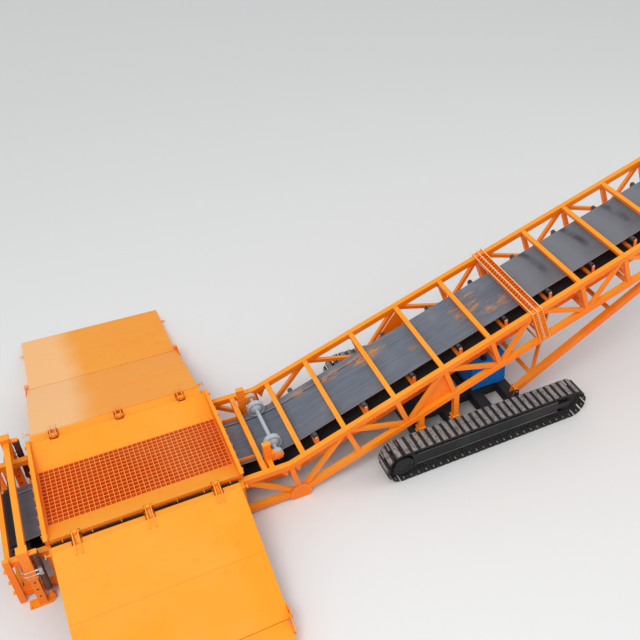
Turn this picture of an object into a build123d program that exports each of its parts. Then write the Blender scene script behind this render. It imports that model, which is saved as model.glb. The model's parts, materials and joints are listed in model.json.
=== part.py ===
"""Tracked truck unloader: a drive-over hopper with folding ramps feeding an inclined belt conveyor."""

import os
from math import atan2, cos, degrees, pi, radians, sin, sqrt, tan

from build123d import *

# Driving dimensions, in millimetres and degrees

# Truss: two side frames of square tube, level under the hopper and inclined after the bend
boom_angle = 19.4
chord_height = 915
truss_half = 1180
truss_depth = 775
chord_size = 120
post_size = 100
brace_size = 80
cross_size = 100
low_cross_size = 80
tail_reach = 4900
tail_deep = 100
first_node = 1230
bay = 1129
splice_node = 4
splice_shift = -25
last_node = 12
last_post = -950
weld_gap = 0.3

# Hopper and grate
hopper_start = -4174
hopper_length = 3220
hinge_shares = (0.128, 0.494, 0.86)
grate_half = 692
grate_lift = 47
grate_depth = 50
grate_bar = 16
plate_half = 1257
plate_height = 1201
sheet = 12
end_wall_height = 1260
ledger_gap = 90
ledger_wide = 150
ledger_top = 1080
ledger_low = 900

# Ramps: two panels a side, hinged to the hopper and to each other
ramp_inset_start = 9
ramp_inset_end = 53
ramp_edge_y = 1526
ramp_edge_z = 1181
middle_y = 3968
middle_z = 377
ramp_end_y = 6275
ramp_end_z = 20
panel_gap = 12
panel_ribs = 140
hinge_y = 1290
hinge_z = 1235
hinge_pin = 40
middle_pin = 36
middle_lift = 80
eye_round = 22
outer_inset = 45

# Belt and pulleys
belt_clear = 30
belt_thick = 15
belt_flat_half = 270
belt_wing = 400
belt_trough = 10
belt_bend_radius = 3000
wrap_radius = 225
pulley_clear = 5
pulley_half = 720
shaft_size = 90
tail_pulley_back = 4700
head_pulley_s = 15050
hood_ahead = 480
hood_deep = 880
transition = 800

# Hold-down wheels
press_x = -130
press_y = 535
press_radius = 170
press_width = 110
press_gap = 6

# Idlers
roller_size = 108
roller_gap = 0.5
roller_reach = 520
base_low = 440
base_deep = 60
stringer_deep = 130
stringer_wide = 80
return_roller = 45

# Undercarriage
shoe_pitch = 171
shoe_width = 500
shoe_count = 59
shoes_between = 24
track_gap = 50
track_rear = 2120
pad_thick = 30
shoe_thick = 10
deck_height = 600
beam_deep = 250
beam_wide = 250

# Rear jacks
jack_x = -4555
jack_out = 250
jack_leg = 128
jack_sleeve = 150
jack_clear = 5
jack_top = 1385

# Values worked out from the driving dimensions

tilt = radians(boom_angle)
half_tilt = tan(tilt / 2)
low = -truss_depth
hood_s = head_pulley_s + hood_ahead
hood_low = -hood_deep
head_reach = hood_s * cos(tilt) - hood_low * sin(tilt)
bend_x = (max(tail_reach, tail_pulley_back + wrap_radius) - head_reach) / 2
level = Plane(origin=(bend_x, 0, chord_height))
incline = Plane(
    origin=(bend_x, 0, chord_height),
    x_dir=(cos(tilt), 0, sin(tilt)),
    z_dir=(-sin(tilt), 0, cos(tilt)),
)
floor = Plane(origin=(bend_x, 0, 0))
node_s = [first_node + bay * index for index in range(last_node + 1)]
splice_s = node_s[splice_node] + splice_shift
chord_half = chord_size / 2
post_half = post_size / 2
chord_in = truss_half - chord_half
chord_out = truss_half + chord_half
chord_top = chord_height + chord_half
sides = (-1, 1)
words = ((-1, "near"), (1, "far"))


def spot(frame, point):
    """World position of a point given in a frame's own axes."""
    return frame.from_local_coords(Vector(*point))


def block(frame, lower, upper):
    """Square-edged block between two corners of a frame."""
    size = [far - near for near, far in zip(lower, upper)]
    with BuildSketch(Plane(origin=spot(frame, lower), x_dir=frame.x_dir, z_dir=frame.z_dir)) as base:
        Rectangle(size[0], size[1], align=(Align.MIN, Align.MIN))
    return extrude(base.sketch, amount=size[2], mode=Mode.PRIVATE)


def side_block(frame, side, inner, outer, lower, upper):
    """Block on one side of the machine, from an inner to an outer y, between two (x, z) corners."""
    y_low, y_high = sorted((side * inner, side * outer))
    return block(frame, (lower[0], y_low, lower[1]), (upper[0], y_high, upper[1]))


def plate(frame, outline, y_low, y_high):
    """Upright plate: a closed outline of (x, z) points in a frame, between two y positions."""
    face_plane = Plane(origin=spot(frame, (0, y_low, 0)), x_dir=frame.x_dir, z_dir=-frame.y_dir)
    with BuildSketch(face_plane) as face:
        with BuildLine():
            Polyline(*outline, close=True)
        make_face()
    return extrude(face.sketch, amount=-(y_high - y_low), mode=Mode.PRIVATE)


def across_plate(outline, x_low, x_high):
    """Plate across the machine: a closed outline of (y, z) points from one x to another."""
    face_plane = Plane(origin=(bend_x + x_low, 0, 0), x_dir=(0, 1, 0), z_dir=(1, 0, 0))
    with BuildSketch(face_plane) as face:
        with BuildLine():
            Polyline(*outline, close=True)
        make_face()
    return extrude(face.sketch, amount=x_high - x_low, mode=Mode.PRIVATE)


def eye_plate(outline, x_low, x_high):
    """Plate across the machine that carries a pin, rounded at its two highest corners."""
    face_plane = Plane(origin=(bend_x + x_low, 0, 0), x_dir=(0, 1, 0), z_dir=(1, 0, 0))
    with BuildSketch(face_plane) as face:
        with BuildLine():
            Polyline(*outline, close=True)
        make_face()
        fillet(face.vertices().sort_by(Axis.Y)[-2:], eye_round)
    return extrude(face.sketch, amount=x_high - x_low, mode=Mode.PRIVATE)


def rod(frame, start, end, radius, mode=Mode.PRIVATE):
    """Round bar between two points of a frame."""
    begin = spot(frame, start)
    run = spot(frame, end) - begin
    with BuildSketch(Plane(origin=begin, z_dir=run)) as section:
        Circle(radius)
    return extrude(section.sketch, amount=run.length, mode=mode)


def cross_rod(frame, place, inner, outer, radius, mode=Mode.PRIVATE):
    """Round bar across the machine at an (x, z) place, from one y to another."""
    return rod(frame, (place[0], inner, place[1]), (place[0], outer, place[1]), radius, mode=mode)


def brace(face_plane, start, end, wide, thick, room):
    """Diagonal bar between two points of a plane, cut to the clear room round it."""
    run = Vector(*end) - Vector(*start)
    middle = (Vector(*end) + Vector(*start)) * 0.5
    with BuildSketch(face_plane) as strip:
        with BuildLine():
            Polyline(*room, close=True)
        make_face()
        with Locations((middle.X, middle.Y)):
            Rectangle(2 * run.length, wide, rotation=degrees(atan2(run.Y, run.X)), mode=Mode.INTERSECT)
    return extrude(strip.sketch, amount=thick / 2, both=True, mode=Mode.PRIVATE)


def save(piece, name):
    """Name a finished piece and write it."""
    piece.part.label = name
    export_step(piece.part, f"parts/{name}.step")


os.makedirs("parts", exist_ok=True)

# Side frames: top and bottom chords with uprights and diagonals, level at the tail and then inclined

inner = chord_half + weld_gap
bar_top = -inner
bar_low = low + inner
lean_cos = cos(tilt / 2)
lean_sin = sin(tilt / 2)
face_reach = post_half / lean_cos
room_reach = (post_half + weld_gap) / lean_cos
end_plate = 12
lower_end = splice_s - end_plate - weld_gap
upper_start = splice_s + end_plate + weld_gap
chord_end = node_s[last_node] + post_half


def bent_bar(y_low, y_high, top, bottom, back, ahead):
    """Bar that follows the bend as two lengths mitred there, between two heights of the frames."""
    level_end = [(-top * half_tilt - weld_gap, top), (-bottom * half_tilt - weld_gap, bottom)]
    level_bar = [(back, top)] + level_end + [(back, bottom)]
    incline_bar = [(top * half_tilt, top), (ahead, top), (ahead, bottom), (bottom * half_tilt, bottom)]
    return [plate(level, level_bar, y_low, y_high), plate(incline, incline_bar, y_low, y_high)]


def upright(frame, y_place, along):
    """Post of a side frame, from the bottom chord's top face to the top chord's underside."""
    corner_low = (along - post_half, y_place - post_half, bar_low)
    corner_high = (along + post_half, y_place + post_half, bar_top)
    return block(frame, corner_low, corner_high)


def bay_brace(frame, y_place, start, end, room_start, room_end):
    """Diagonal of a side frame between two posts, clear of the posts and chords by the weld gap."""
    room = [
        (room_start[0], bar_top),
        (room_end[0], bar_top),
        (room_end[1], bar_low),
        (room_start[1], bar_low),
    ]
    face_plane = Plane(origin=spot(frame, (0, y_place, 0)), x_dir=frame.x_dir, z_dir=-frame.y_dir)
    return brace(face_plane, start, end, brace_size, brace_size, room)


def post_faces(along, toward):
    """Edge of the clear room beside a post, at the top and at the bottom."""
    edge = along + toward * (post_half + weld_gap)
    return (edge, edge)


tail_post = -tail_pulley_back
hopper_posts = [hopper_start - 60, hopper_start + 1100, hopper_start + 2200]
level_posts = [tail_post] + hopper_posts + [last_post]
gusset_reach = 210
gusset_thick = 10
gusset_radius = 215
chord_back = -tail_reach + tail_deep + weld_gap
lower_post = lower_end - post_half
upper_post = upper_start + post_half

with BuildPart() as lower_side_frames:
    members = []
    for side in sides:
        y_side = side * truss_half
        for height in (0, low):
            members += bent_bar(y_side - chord_half, y_side + chord_half, height + chord_half,
                                height - chord_half, chord_back, lower_end)
        for post_x in level_posts:
            members.append(upright(level, y_side, post_x))
        for start_x, end_x in zip(hopper_posts, hopper_posts[1:] + [last_post]):
            room_start, room_end = post_faces(start_x, 1), post_faces(end_x, -1)
            members.append(bay_brace(level, y_side, (start_x, low), (end_x, 0), room_start, room_end))
        top_x = -bar_top * half_tilt
        foot_x = -bar_low * half_tilt
        bend_post = [
            (top_x - post_half * lean_cos, bar_top - post_half * lean_sin),
            (top_x + post_half * lean_cos, bar_top + post_half * lean_sin),
            (foot_x + face_reach * cos(tilt), bar_low + face_reach * sin(tilt)),
            (foot_x, bar_low),
            (foot_x - face_reach, bar_low),
        ]
        members.append(plate(level, bend_post, y_side - post_half, y_side + post_half))
        room_start = post_faces(last_post, 1)
        room_end = (top_x - room_reach, foot_x - room_reach)
        bend_foot = (-low * half_tilt, low)
        members.append(bay_brace(level, y_side, (last_post, 0), bend_foot, room_start, room_end))
        room_start = (room_reach - top_x, room_reach - foot_x)
        room_end = post_faces(node_s[0], -1)
        bend_foot = (low * half_tilt, low)
        members.append(bay_brace(incline, y_side, bend_foot, (node_s[0], 0), room_start, room_end))
        for frame, toward in ((level, -1), (incline, 1)):
            corner_x = toward * (room_reach + weld_gap) - toward * top_x
            gusset = [
                (corner_x, bar_top),
                (corner_x + toward * gusset_reach, bar_top),
                (corner_x + toward * gusset_reach * lean_sin, bar_top - gusset_reach),
            ]
            members.append(plate(frame, gusset, y_side - gusset_thick / 2, y_side + gusset_thick / 2))
        face_in = side * (chord_out + weld_gap)
        face_out = side * (chord_out + weld_gap + gusset_thick)
        members.append(cross_rod(level, (-low * half_tilt, low), face_in, face_out, gusset_radius))
        for index in range(splice_node):
            here = node_s[index]
            ahead = node_s[index + 1] if index + 1 < splice_node else lower_post
            members.append(upright(incline, y_side, here))
            start_h, end_h = (0, low) if index % 2 == 0 else (low, 0)
            room_start, room_end = post_faces(here, 1), post_faces(ahead, -1)
            members.append(bay_brace(incline, y_side, (here, start_h), (ahead, end_h), room_start, room_end))
        members.append(upright(incline, y_side, lower_post))
    add(members)
save(lower_side_frames, "lower_side_frames")

with BuildPart() as upper_side_frames:
    members = []
    for side in sides:
        y_side = side * truss_half
        for height in (0, low):
            corner_low = (upper_start, y_side - chord_half, height - chord_half)
            corner_high = (chord_end, y_side + chord_half, height + chord_half)
            members.append(block(incline, corner_low, corner_high))
        members.append(upright(incline, y_side, upper_post))
        for index in range(splice_node + 1, last_node + 1):
            here = node_s[index]
            behind = node_s[index - 1] if index - 1 > splice_node else upper_post
            members.append(upright(incline, y_side, here))
            start_h, end_h = (0, low) if index % 2 == 1 else (low, 0)
            room_start, room_end = post_faces(behind, 1), post_faces(here, -1)
            members.append(bay_brace(incline, y_side, (behind, start_h), (here, end_h), room_start, room_end))
    add(members)
save(upper_side_frames, "upper_side_frames")

# Cross-members between the side frames, above the belt and below it

cross_half = chord_in - weld_gap
level_cross = -467
incline_cross = 316
plain_nodes = [(incline, s) for index, s in enumerate(node_s) if index != splice_node]
top_crosses = [(level, level_cross), (incline, incline_cross)] + plain_nodes
low_crosses = [(level, x) for x in level_posts] + plain_nodes
cross_sets = (
    ("top_cross_members", top_crosses, 0, cross_size),
    ("bottom_cross_members", low_crosses, low, low_cross_size),
)
for name, places, height, size in cross_sets:
    with BuildPart() as cross_members:
        members = []
        for frame, along in places:
            corner_low = (along - size / 2, -cross_half, height - size / 2)
            corner_high = (along + size / 2, cross_half, height + size / 2)
            members.append(block(frame, corner_low, corner_high))
        add(members)
    save(cross_members, name)

# Splice: each half has an end plate, an outer flange and ribs between them, bolted back to back

splice_half = 125
splice_rise = 40
splice_out = 45
splice_lap = 40
flange_lip = 4
rib_edge_gap = 30
rib_thick = 8
top_rib_pitch = 100
top_rib_count = 23
side_rib_count = 12
ladder_top = chord_half + splice_rise
ladder_low = low - chord_half + weld_gap
side_low = low + 10
side_in = chord_out + weld_gap
side_out = side_in + splice_out
splice_sets = (("splice_lower", -1), ("splice_upper", 1))
for name, toward in splice_sets:
    with BuildPart() as splice_half_frame:
        members = []
        mate = splice_s + toward * weld_gap / 2
        far_face = splice_s + toward * splice_half
        flanges = [(mate, splice_s + toward * end_plate), (far_face - toward * end_plate, far_face)]
        rib_ends = (splice_s + toward * (end_plate + weld_gap), far_face - toward * (end_plate + weld_gap))
        for flange in flanges:
            s_low, s_high = sorted(flange)
            top_corner = (s_high, ladder_top)
            web_corner = (s_low, -cross_half, -splice_lap)
            members.append(block(incline, web_corner, (s_high, cross_half, ladder_top)))
            low_corner = (s_high, cross_half, low + splice_lap)
            members.append(block(incline, (s_low, -cross_half, ladder_low), low_corner))
            for side in sides:
                cap_low = (s_low, chord_half + weld_gap)
                members.append(side_block(incline, side, chord_in, chord_out, cap_low, top_corner))
                members.append(side_block(incline, side, side_in, side_out, (s_low, side_low), top_corner))
        s_low, s_high = sorted(rib_ends)
        for index in range(top_rib_count):
            rib_y = (index - (top_rib_count - 1) / 2) * top_rib_pitch
            rib_low = -splice_lap if abs(rib_y) < cross_half else chord_half + weld_gap
            corner_low = (s_low, rib_y - rib_thick / 2, rib_low)
            corner_high = (s_high, rib_y + rib_thick / 2, ladder_top - flange_lip)
            members.append(block(incline, corner_low, corner_high))
        rib_room = ladder_top - side_low - 2 * rib_edge_gap
        for index in range(side_rib_count):
            rib_h = side_low + rib_edge_gap + rib_room * index / (side_rib_count - 1)
            rib_foot = (s_low, rib_h - rib_thick / 2)
            rib_head = (s_high, rib_h + rib_thick / 2)
            for side in sides:
                members.append(side_block(incline, side, side_in, side_out - flange_lip, rib_foot, rib_head))
        add(members)
    save(splice_half_frame, name)

# Belt: one endless loop, troughed on the carrying side and flat on the return

wing_angle = radians(belt_trough)
wing_run = belt_wing * cos(wing_angle)
wing_rise = belt_wing * sin(wing_angle)
belt_drop = wing_rise + cross_size / 2 + belt_clear
belt_half = belt_flat_half + belt_wing
arc_height = belt_bend_radius - belt_drop
arc_x = -arc_height * half_tilt
return_top = -belt_drop - 2 * wrap_radius + belt_thick
pulley_height = -belt_drop - wrap_radius
tail_x = -tail_pulley_back
flat_rise = 0.01


def belt_outline(run, rise):
    """Cross-section of the carrying belt as (y, z) points about the middle of its top face."""
    skew = belt_thick * tan(atan2(rise, run) / 2)
    top = [
        (-belt_flat_half - run, rise),
        (-belt_flat_half, 0),
        (belt_flat_half, 0),
        (belt_flat_half + run, rise),
    ]
    under_run = run + belt_thick * sin(atan2(rise, run))
    drop = belt_thick * cos(atan2(rise, run))
    bottom = [
        (belt_flat_half + under_run, rise - drop),
        (belt_flat_half + skew, -belt_thick),
        (-belt_flat_half - skew, -belt_thick),
        (-belt_flat_half - under_run, rise - drop),
    ]
    return top + bottom


def belt_section(frame, along, run, rise):
    """Sketch of the belt's cross-section across a frame at a distance along it."""
    across = Plane(origin=spot(frame, (along, 0, -belt_drop)), x_dir=frame.y_dir, z_dir=frame.x_dir)
    with BuildSketch(across) as section:
        with BuildLine():
            Polyline(*belt_outline(run, rise), close=True)
        make_face()
    return section.sketch


swing = Axis(spot(level, (arc_x, 0, arc_height)), (0, -1, 0))
with BuildPart() as carrying_belt:
    extrude(belt_section(level, tail_x + transition, wing_run, wing_rise), amount=arc_x - tail_x - transition)
    revolve(belt_section(level, arc_x, wing_run, wing_rise), axis=swing, revolution_arc=boom_angle)
    extrude(belt_section(incline, -arc_x, wing_run, wing_rise), amount=head_pulley_s - transition + arc_x)
    flat_tail = belt_section(level, tail_x + weld_gap, belt_wing, flat_rise)
    loft([flat_tail, belt_section(level, tail_x + transition, wing_run, wing_rise)], ruled=True)
    flat_head = belt_section(incline, head_pulley_s - weld_gap, belt_wing, flat_rise)
    loft([belt_section(incline, head_pulley_s - transition, wing_run, wing_rise), flat_head], ruled=True)
save(carrying_belt, "carrying_belt")

with BuildPart() as return_belt:
    for frame, along, toward in ((level, tail_x, -1), (incline, head_pulley_s, 1)):
        wrap_centre = spot(frame, (along, belt_half, pulley_height))
        with BuildSketch(Plane(origin=wrap_centre, x_dir=frame.x_dir, z_dir=-frame.y_dir)) as wrap:
            Circle(wrap_radius)
            Circle(wrap_radius - belt_thick, mode=Mode.SUBTRACT)
            with Locations((-toward * wrap_radius, 0)):
                Rectangle(2 * wrap_radius, 2 * wrap_radius, mode=Mode.SUBTRACT)
        extrude(wrap.sketch, amount=2 * belt_half)
    add(block(level, (tail_x, -belt_half, return_top - belt_thick), (arc_x, belt_half, return_top)))
    add(block(incline, (-arc_x, -belt_half, return_top - belt_thick), (head_pulley_s, belt_half, return_top)))
    arc_start = spot(level, (arc_x, 0, 0))
    with BuildSketch(Plane(origin=arc_start, x_dir=(0, 1, 0), z_dir=(1, 0, 0))) as return_face:
        with Locations((0, return_top - belt_thick / 2)):
            Rectangle(2 * belt_half, belt_thick)
    revolve(return_face.sketch, axis=swing, revolution_arc=boom_angle)
save(return_belt, "return_belt")

# Pulleys at the tail and head, each with its shaft

pulley_radius = wrap_radius - belt_thick - pulley_clear
shaft_half = 900
shaft_drive = 1150
shaft_clear = 0.1
pulleys = ((level, tail_x, shaft_half, "tail_pulley"), (incline, head_pulley_s, shaft_drive, "head_pulley"))
for frame, along, near_end, name in pulleys:
    with BuildPart() as pulley:
        place = (along, pulley_height)
        add(cross_rod(frame, place, -pulley_half, pulley_half, pulley_radius))
        add(cross_rod(frame, place, -near_end, shaft_half, shaft_size / 2))
    save(pulley, name)

# Trough idlers: three rollers in a frame, one set in each bay and closer under the hopper

roller_radius = roller_size / 2
roller_offset = roller_radius + roller_gap + belt_thick
roller_low = -belt_drop - roller_offset
roller_half = belt_flat_half - 25
roller_start = 15
roller_end_y = belt_flat_half + roller_reach * cos(wing_angle) + roller_offset * sin(wing_angle)
roller_end_z = -belt_drop + roller_reach * sin(wing_angle) - roller_offset * cos(wing_angle)
level_count = 5
level_first = tail_x + transition + 100
level_last = arc_x - 800
level_step = (level_last - level_first) / (level_count - 1)
level_sets = [level_first + level_step * index for index in range(level_count)]
incline_sets = [s - bay / 2 for s in node_s]
idler_places = [(level, x) for x in level_sets] + [(incline, s) for s in incline_sets]
base_top = -base_low + base_deep
base_back = 100
base_front = -30
stringer_y = roller_end_y + stringer_wide / 2
stringer_top = -base_low - weld_gap
stringer_out = stringer_y + stringer_wide / 2
stringer_in = stringer_y - stringer_wide / 2

with BuildPart() as idler_rollers:
    members = []
    for frame, along in idler_places:
        members.append(cross_rod(frame, (along, roller_low), -roller_half, roller_half, roller_radius))
        for side in sides:
            ends = []
            for reach in (roller_start, roller_reach):
                y_end = belt_flat_half + reach * cos(wing_angle) + roller_offset * sin(wing_angle)
                z_end = -belt_drop + reach * sin(wing_angle) - roller_offset * cos(wing_angle)
                ends.append((along, side * y_end, z_end))
            members.append(rod(frame, ends[0], ends[1], roller_radius))
    add(members)
save(idler_rollers, "idler_rollers")

# Idler frames: a base bar behind the rollers and upright brackets between them and at their ends

bracket_thick = 8
bracket_half = 35
end_gap = 10
inner_bracket_y = roller_half + 3
outer_bracket_y = roller_end_y + end_gap
with BuildPart() as idler_frames:
    members = []
    for frame, along in idler_places:
        base_low_corner = (along - base_back, -stringer_out, -base_low)
        members.append(block(frame, base_low_corner, (along + base_front, stringer_out, base_top)))
        for bracket_y, axis_z in ((inner_bracket_y, roller_low), (outer_bracket_y, roller_end_z)):
            outline = [
                (along - base_back, base_top + weld_gap),
                (along + base_front, base_top + weld_gap),
                (along + bracket_half, axis_z - bracket_half),
                (along + bracket_half, axis_z + bracket_half / 2),
                (along - bracket_half, axis_z + bracket_half / 2),
            ]
            for side in sides:
                y_low, y_high = sorted((side * bracket_y, side * (bracket_y + bracket_thick)))
                members.append(plate(frame, outline, y_low, y_high))
    add(members)
save(idler_frames, "idler_frames")

# Idler stringers: rails that carry the idlers, held off the posts by short arms

stringer_low = stringer_top - stringer_deep
tail_rail = level_sets[0] - 250
rail_end = node_s[last_node]
arm_half = 30
arm_deep = 90
with BuildPart() as idler_stringers:
    members = []
    for side in sides:
        y_low, y_high = sorted((side * stringer_in, side * stringer_out))
        members += bent_bar(y_low, y_high, stringer_top, stringer_low, tail_rail, rail_end)
        for frame, along in [(level, x) for x in level_posts[2:]] + [(incline, s) for s in node_s[:-1]]:
            arm_low = (along - arm_half, stringer_low)
            arm_high = (along + arm_half, stringer_low + arm_deep)
            arm_in = stringer_out + weld_gap
            arm_out = truss_half - post_half - weld_gap
            members.append(side_block(frame, side, arm_in, arm_out, arm_low, arm_high))
    add(members)
save(idler_stringers, "idler_stringers")

# Return rollers hang beside the stringers every second bay

return_axis = return_top - belt_thick - return_roller - roller_gap
return_places = [(level, level_sets[0]), (level, level_sets[-1] - 200)]
return_places += [(incline, node_s[index] + bay / 2) for index in range(0, last_node, 2)]
hanger_out = stringer_in - weld_gap
hanger_in = hanger_out - sheet
hanger_half = 40
return_end = hanger_in - weld_gap
hanger_lap = 60
with BuildPart() as return_rollers:
    for frame, along in return_places:
        add(cross_rod(frame, (along, return_axis), -return_end, return_end, return_roller))
save(return_rollers, "return_rollers")

with BuildPart() as return_hangers:
    for frame, along in return_places:
        for side in sides:
            hanger_low = (along - hanger_half, return_axis - hanger_half)
            hanger_high = (along + hanger_half, stringer_low + hanger_lap)
            add(side_block(frame, side, hanger_in, hanger_out, hanger_low, hanger_high))
save(return_hangers, "return_hangers")

# Hopper: sloping side plates, ribbed end walls, grate and the frame below them

hopper_end = hopper_start + hopper_length
hopper_mid = hopper_start + hopper_length / 2
hinge_places = [hopper_start + hopper_length * share for share in hinge_shares]
grate_z = chord_height + grate_lift
plate_slope = (plate_height - grate_z) / (plate_half - grate_half)
lip = 80
wall_gap = 0.5
notch_deep = 100
notch_half = 75
notch_y = plate_half - notch_deep


def slope_z(along_y):
    """Height of the hopper plate's top face at a distance from the middle."""
    return grate_z + (along_y - grate_half) * plate_slope


with BuildPart() as hopper_plates:
    members = []
    strip_ends = [hopper_start]
    for hinge_x in hinge_places:
        strip_ends += [hinge_x - notch_half, hinge_x + notch_half]
    strip_ends.append(hopper_end)
    for side in sides:
        slab = [
            (side * grate_half, grate_z),
            (side * notch_y, slope_z(notch_y)),
            (side * notch_y, slope_z(notch_y) - sheet),
            (side * grate_half, grate_z - sheet),
        ]
        members.append(across_plate(slab, hopper_start, hopper_end))
        edge = [
            (side * (notch_y + weld_gap), slope_z(notch_y)),
            (side * plate_half, plate_height),
            (side * plate_half, plate_height - sheet),
            (side * (notch_y + weld_gap), slope_z(notch_y) - sheet),
        ]
        for strip_start, strip_end in zip(strip_ends[0::2], strip_ends[1::2]):
            members.append(across_plate(edge, strip_start, strip_end))
            lip_high = (strip_end, slope_z(plate_half - sheet) - sheet - weld_gap)
            lip_low = (strip_start, plate_height - lip)
            members.append(side_block(floor, side, plate_half - sheet, plate_half, lip_low, lip_high))
    add(members)
save(hopper_plates, "hopper_plates")

grate_edge = 20
grate_gap = 1
with BuildPart() as grate:
    bars_x = 12
    bars_y = 5
    pitch_x = (hopper_length - grate_edge) / bars_x
    pitch_y = (2 * grate_half - grate_edge) / bars_y
    slab_low = (hopper_start, grate_gap - grate_half, grate_z - grate_depth)
    add(block(floor, slab_low, (hopper_end, grate_half - grate_gap, grate_z)))
    with BuildSketch(Plane(origin=(bend_x + hopper_mid, 0, grate_z))) as cells:
        with GridLocations(pitch_x, pitch_y, bars_x, bars_y):
            Rectangle(pitch_x - grate_bar, pitch_y - grate_bar)
    extrude(cells.sketch, amount=-grate_depth, mode=Mode.SUBTRACT)
save(grate, "grate")

wall_over = 40
rib_out = 70
wall_ribs = 11
wall_rib_edge = 105
wall_rib_lift = 30
wall_foot = 35
wall_foot_inset = 5
wall_foot_drop = 60
with BuildPart() as hopper_end_walls:
    members = []
    wall_half = plate_half + wall_over
    outline = [
        (-wall_half, end_wall_height),
        (wall_half, end_wall_height),
        (wall_half, plate_height - lip),
        (grate_half, grate_z - grate_depth),
        (-grate_half, grate_z - grate_depth),
        (-wall_half, plate_height - lip),
    ]
    low_slope = (plate_height - lip - grate_z + grate_depth) / (wall_half - grate_half)
    rib_step = 2 * (plate_half - wall_rib_edge) / (wall_ribs - 1)
    for wall_x, outward in ((hopper_start, -1), (hopper_end, 1)):
        x_low, x_high = sorted((wall_x + outward * wall_gap, wall_x + outward * (sheet + wall_gap)))
        members.append(across_plate(outline, x_low, x_high))
        start_x = wall_x + outward * (sheet + wall_gap + weld_gap)
        rib_low, rib_high = sorted((start_x, wall_x + outward * rib_out))
        for index in range(wall_ribs):
            rib_y = (index - (wall_ribs - 1) / 2) * rib_step
            wall_low = grate_z - grate_depth + max(0, abs(rib_y) - grate_half) * low_slope
            rib_foot = wall_low + wall_rib_lift
            if abs(abs(rib_y) - truss_half) < chord_size:
                continue
            rib_top = end_wall_height - sheet - weld_gap
            corner_low = (rib_low, rib_y - rib_thick / 2, rib_foot)
            members.append(block(floor, corner_low, (rib_high, rib_y + rib_thick / 2, rib_top)))
        corner_low = (rib_low, -wall_half, end_wall_height - sheet)
        members.append(block(floor, corner_low, (rib_high, wall_half, end_wall_height)))
        foot_in = chord_in + wall_foot_inset
        for side in sides:
            foot_low = (rib_low, chord_top + wall_gap)
            foot_high = (rib_high, end_wall_height - wall_foot_drop)
            members.append(side_block(floor, side, foot_in, foot_in + wall_foot, foot_low, foot_high))
    add(members)
save(hopper_end_walls, "hopper_end_walls")

# Hopper frame: a ledger beam along each side on arms from the chords, with the hinge lugs and pins

ledger_in = chord_out + ledger_gap
ledger_out = ledger_in + ledger_wide
lug_half = 30
lug_wide = 45
lug_over = 38
pin_half = 70
hinge_clear = 0.1
with BuildPart() as hopper_frame:
    members = []
    for side in sides:
        beam_low = (hopper_start - 30, ledger_low)
        beam_high = (hopper_end + 10, ledger_top)
        members.append(side_block(floor, side, ledger_in, ledger_out, beam_low, beam_high))
        arm_in = chord_out + weld_gap
        arm_out = ledger_in - weld_gap
        for arm_x in hinge_places + [hopper_start + 30, hopper_end - 60]:
            arm_low = (arm_x - post_half, ledger_low)
            arm_high = (arm_x + post_half, chord_top)
            members.append(side_block(floor, side, arm_in, arm_out, arm_low, arm_high))
        for hinge_x in hinge_places:
            lug = [
                (side * ledger_out, ledger_top + weld_gap),
                (side * (hinge_y + lug_wide), hinge_z - lug_half),
                (side * (hinge_y + lug_half), hinge_z + lug_over),
                (side * (hinge_y - lug_half), hinge_z + lug_over),
                (side * (hinge_y - lug_wide), hinge_z - lug_half),
                (side * ledger_in, ledger_top + weld_gap),
            ]
            members.append(eye_plate(lug, hinge_x - lug_half, hinge_x + lug_half))
            pin_start = (hinge_x - pin_half, side * hinge_y, hinge_z)
            pin_end = (hinge_x + pin_half, side * hinge_y, hinge_z)
            members.append(rod(floor, pin_start, pin_end, hinge_pin / 2))
    add(members)
save(hopper_frame, "hopper_frame")

# Ramps: each side has an inner panel on the hopper hinge and a wedge-shaped outer panel

ramp_start = hopper_start + ramp_inset_start
ramp_end = hopper_end - ramp_inset_end
inner_slope = atan2(ramp_edge_z - middle_z, middle_y - panel_gap / 2 - ramp_edge_y)
outer_slope = atan2(middle_z - ramp_end_z, ramp_end_y - middle_y - panel_gap / 2)
middle_pin_z = middle_z + middle_lift
ear_places = [ramp_start - 28, ramp_end + 8]
ear_thick = 20
ear_step = 25
rib_count = 6
rib_half = 30
rib_edge = 60
bar_shares = ((0.0, 0.03), (0.49, 0.51), (0.97, 1.0))
share_gap = 0.0003
strap_half = 56
strap_thick = 20
strap_reach = 180
strap_high = 25
strap_nose = 60
strap_deep = 40
edge_seat = 2
eye_half = 30
eye_wide = 45
eye_reach = 42
eye_low = 40
heel_back = 20
ear_reach = 260
ear_root = 90
outer_root = 60
stub_long = 52
stub_over = 32
join_reach = 240
inner_join = 130
outer_join = 100
join_deep = 50
toe_flat = 30
wedge_short = 160
bore_over = 5
foot_in = middle_y - 190
foot_out = middle_y - 60


def panel_strip(edge_in, edge_out, shares, depths):
    """Outline of a strip under a ramp panel between two shares of its run and two depths."""
    start, end = shares
    upper, lower = depths
    corners = []
    for share, depth in ((start, upper), (end, upper), (end, lower), (start, lower)):
        y_here = edge_in[0] + (edge_out[0] - edge_in[0]) * share
        z_here = edge_in[1] + (edge_out[1] - edge_in[1]) * share
        corners.append((y_here, z_here - depth))
    return corners


def inner_z(along_y, depth):
    """Height at a depth below the inner panel's top face, a distance from the middle."""
    return ramp_edge_z - (along_y - ramp_edge_y) * tan(inner_slope) - depth


def outer_z(along_y, depth):
    """Height at a depth below the outer panel's top face, a distance from the middle."""
    return middle_z - (along_y - middle_y - panel_gap / 2) * tan(outer_slope) - depth


def outer_rest(along_y):
    """Height just under the outer panel's skin, which thins to nothing at its toe."""
    skin_run = ramp_end_y - toe_flat - middle_y - panel_gap / 2
    return (middle_z - outer_drop) * (ramp_end_y - toe_flat - along_y) / skin_run - weld_gap


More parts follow.
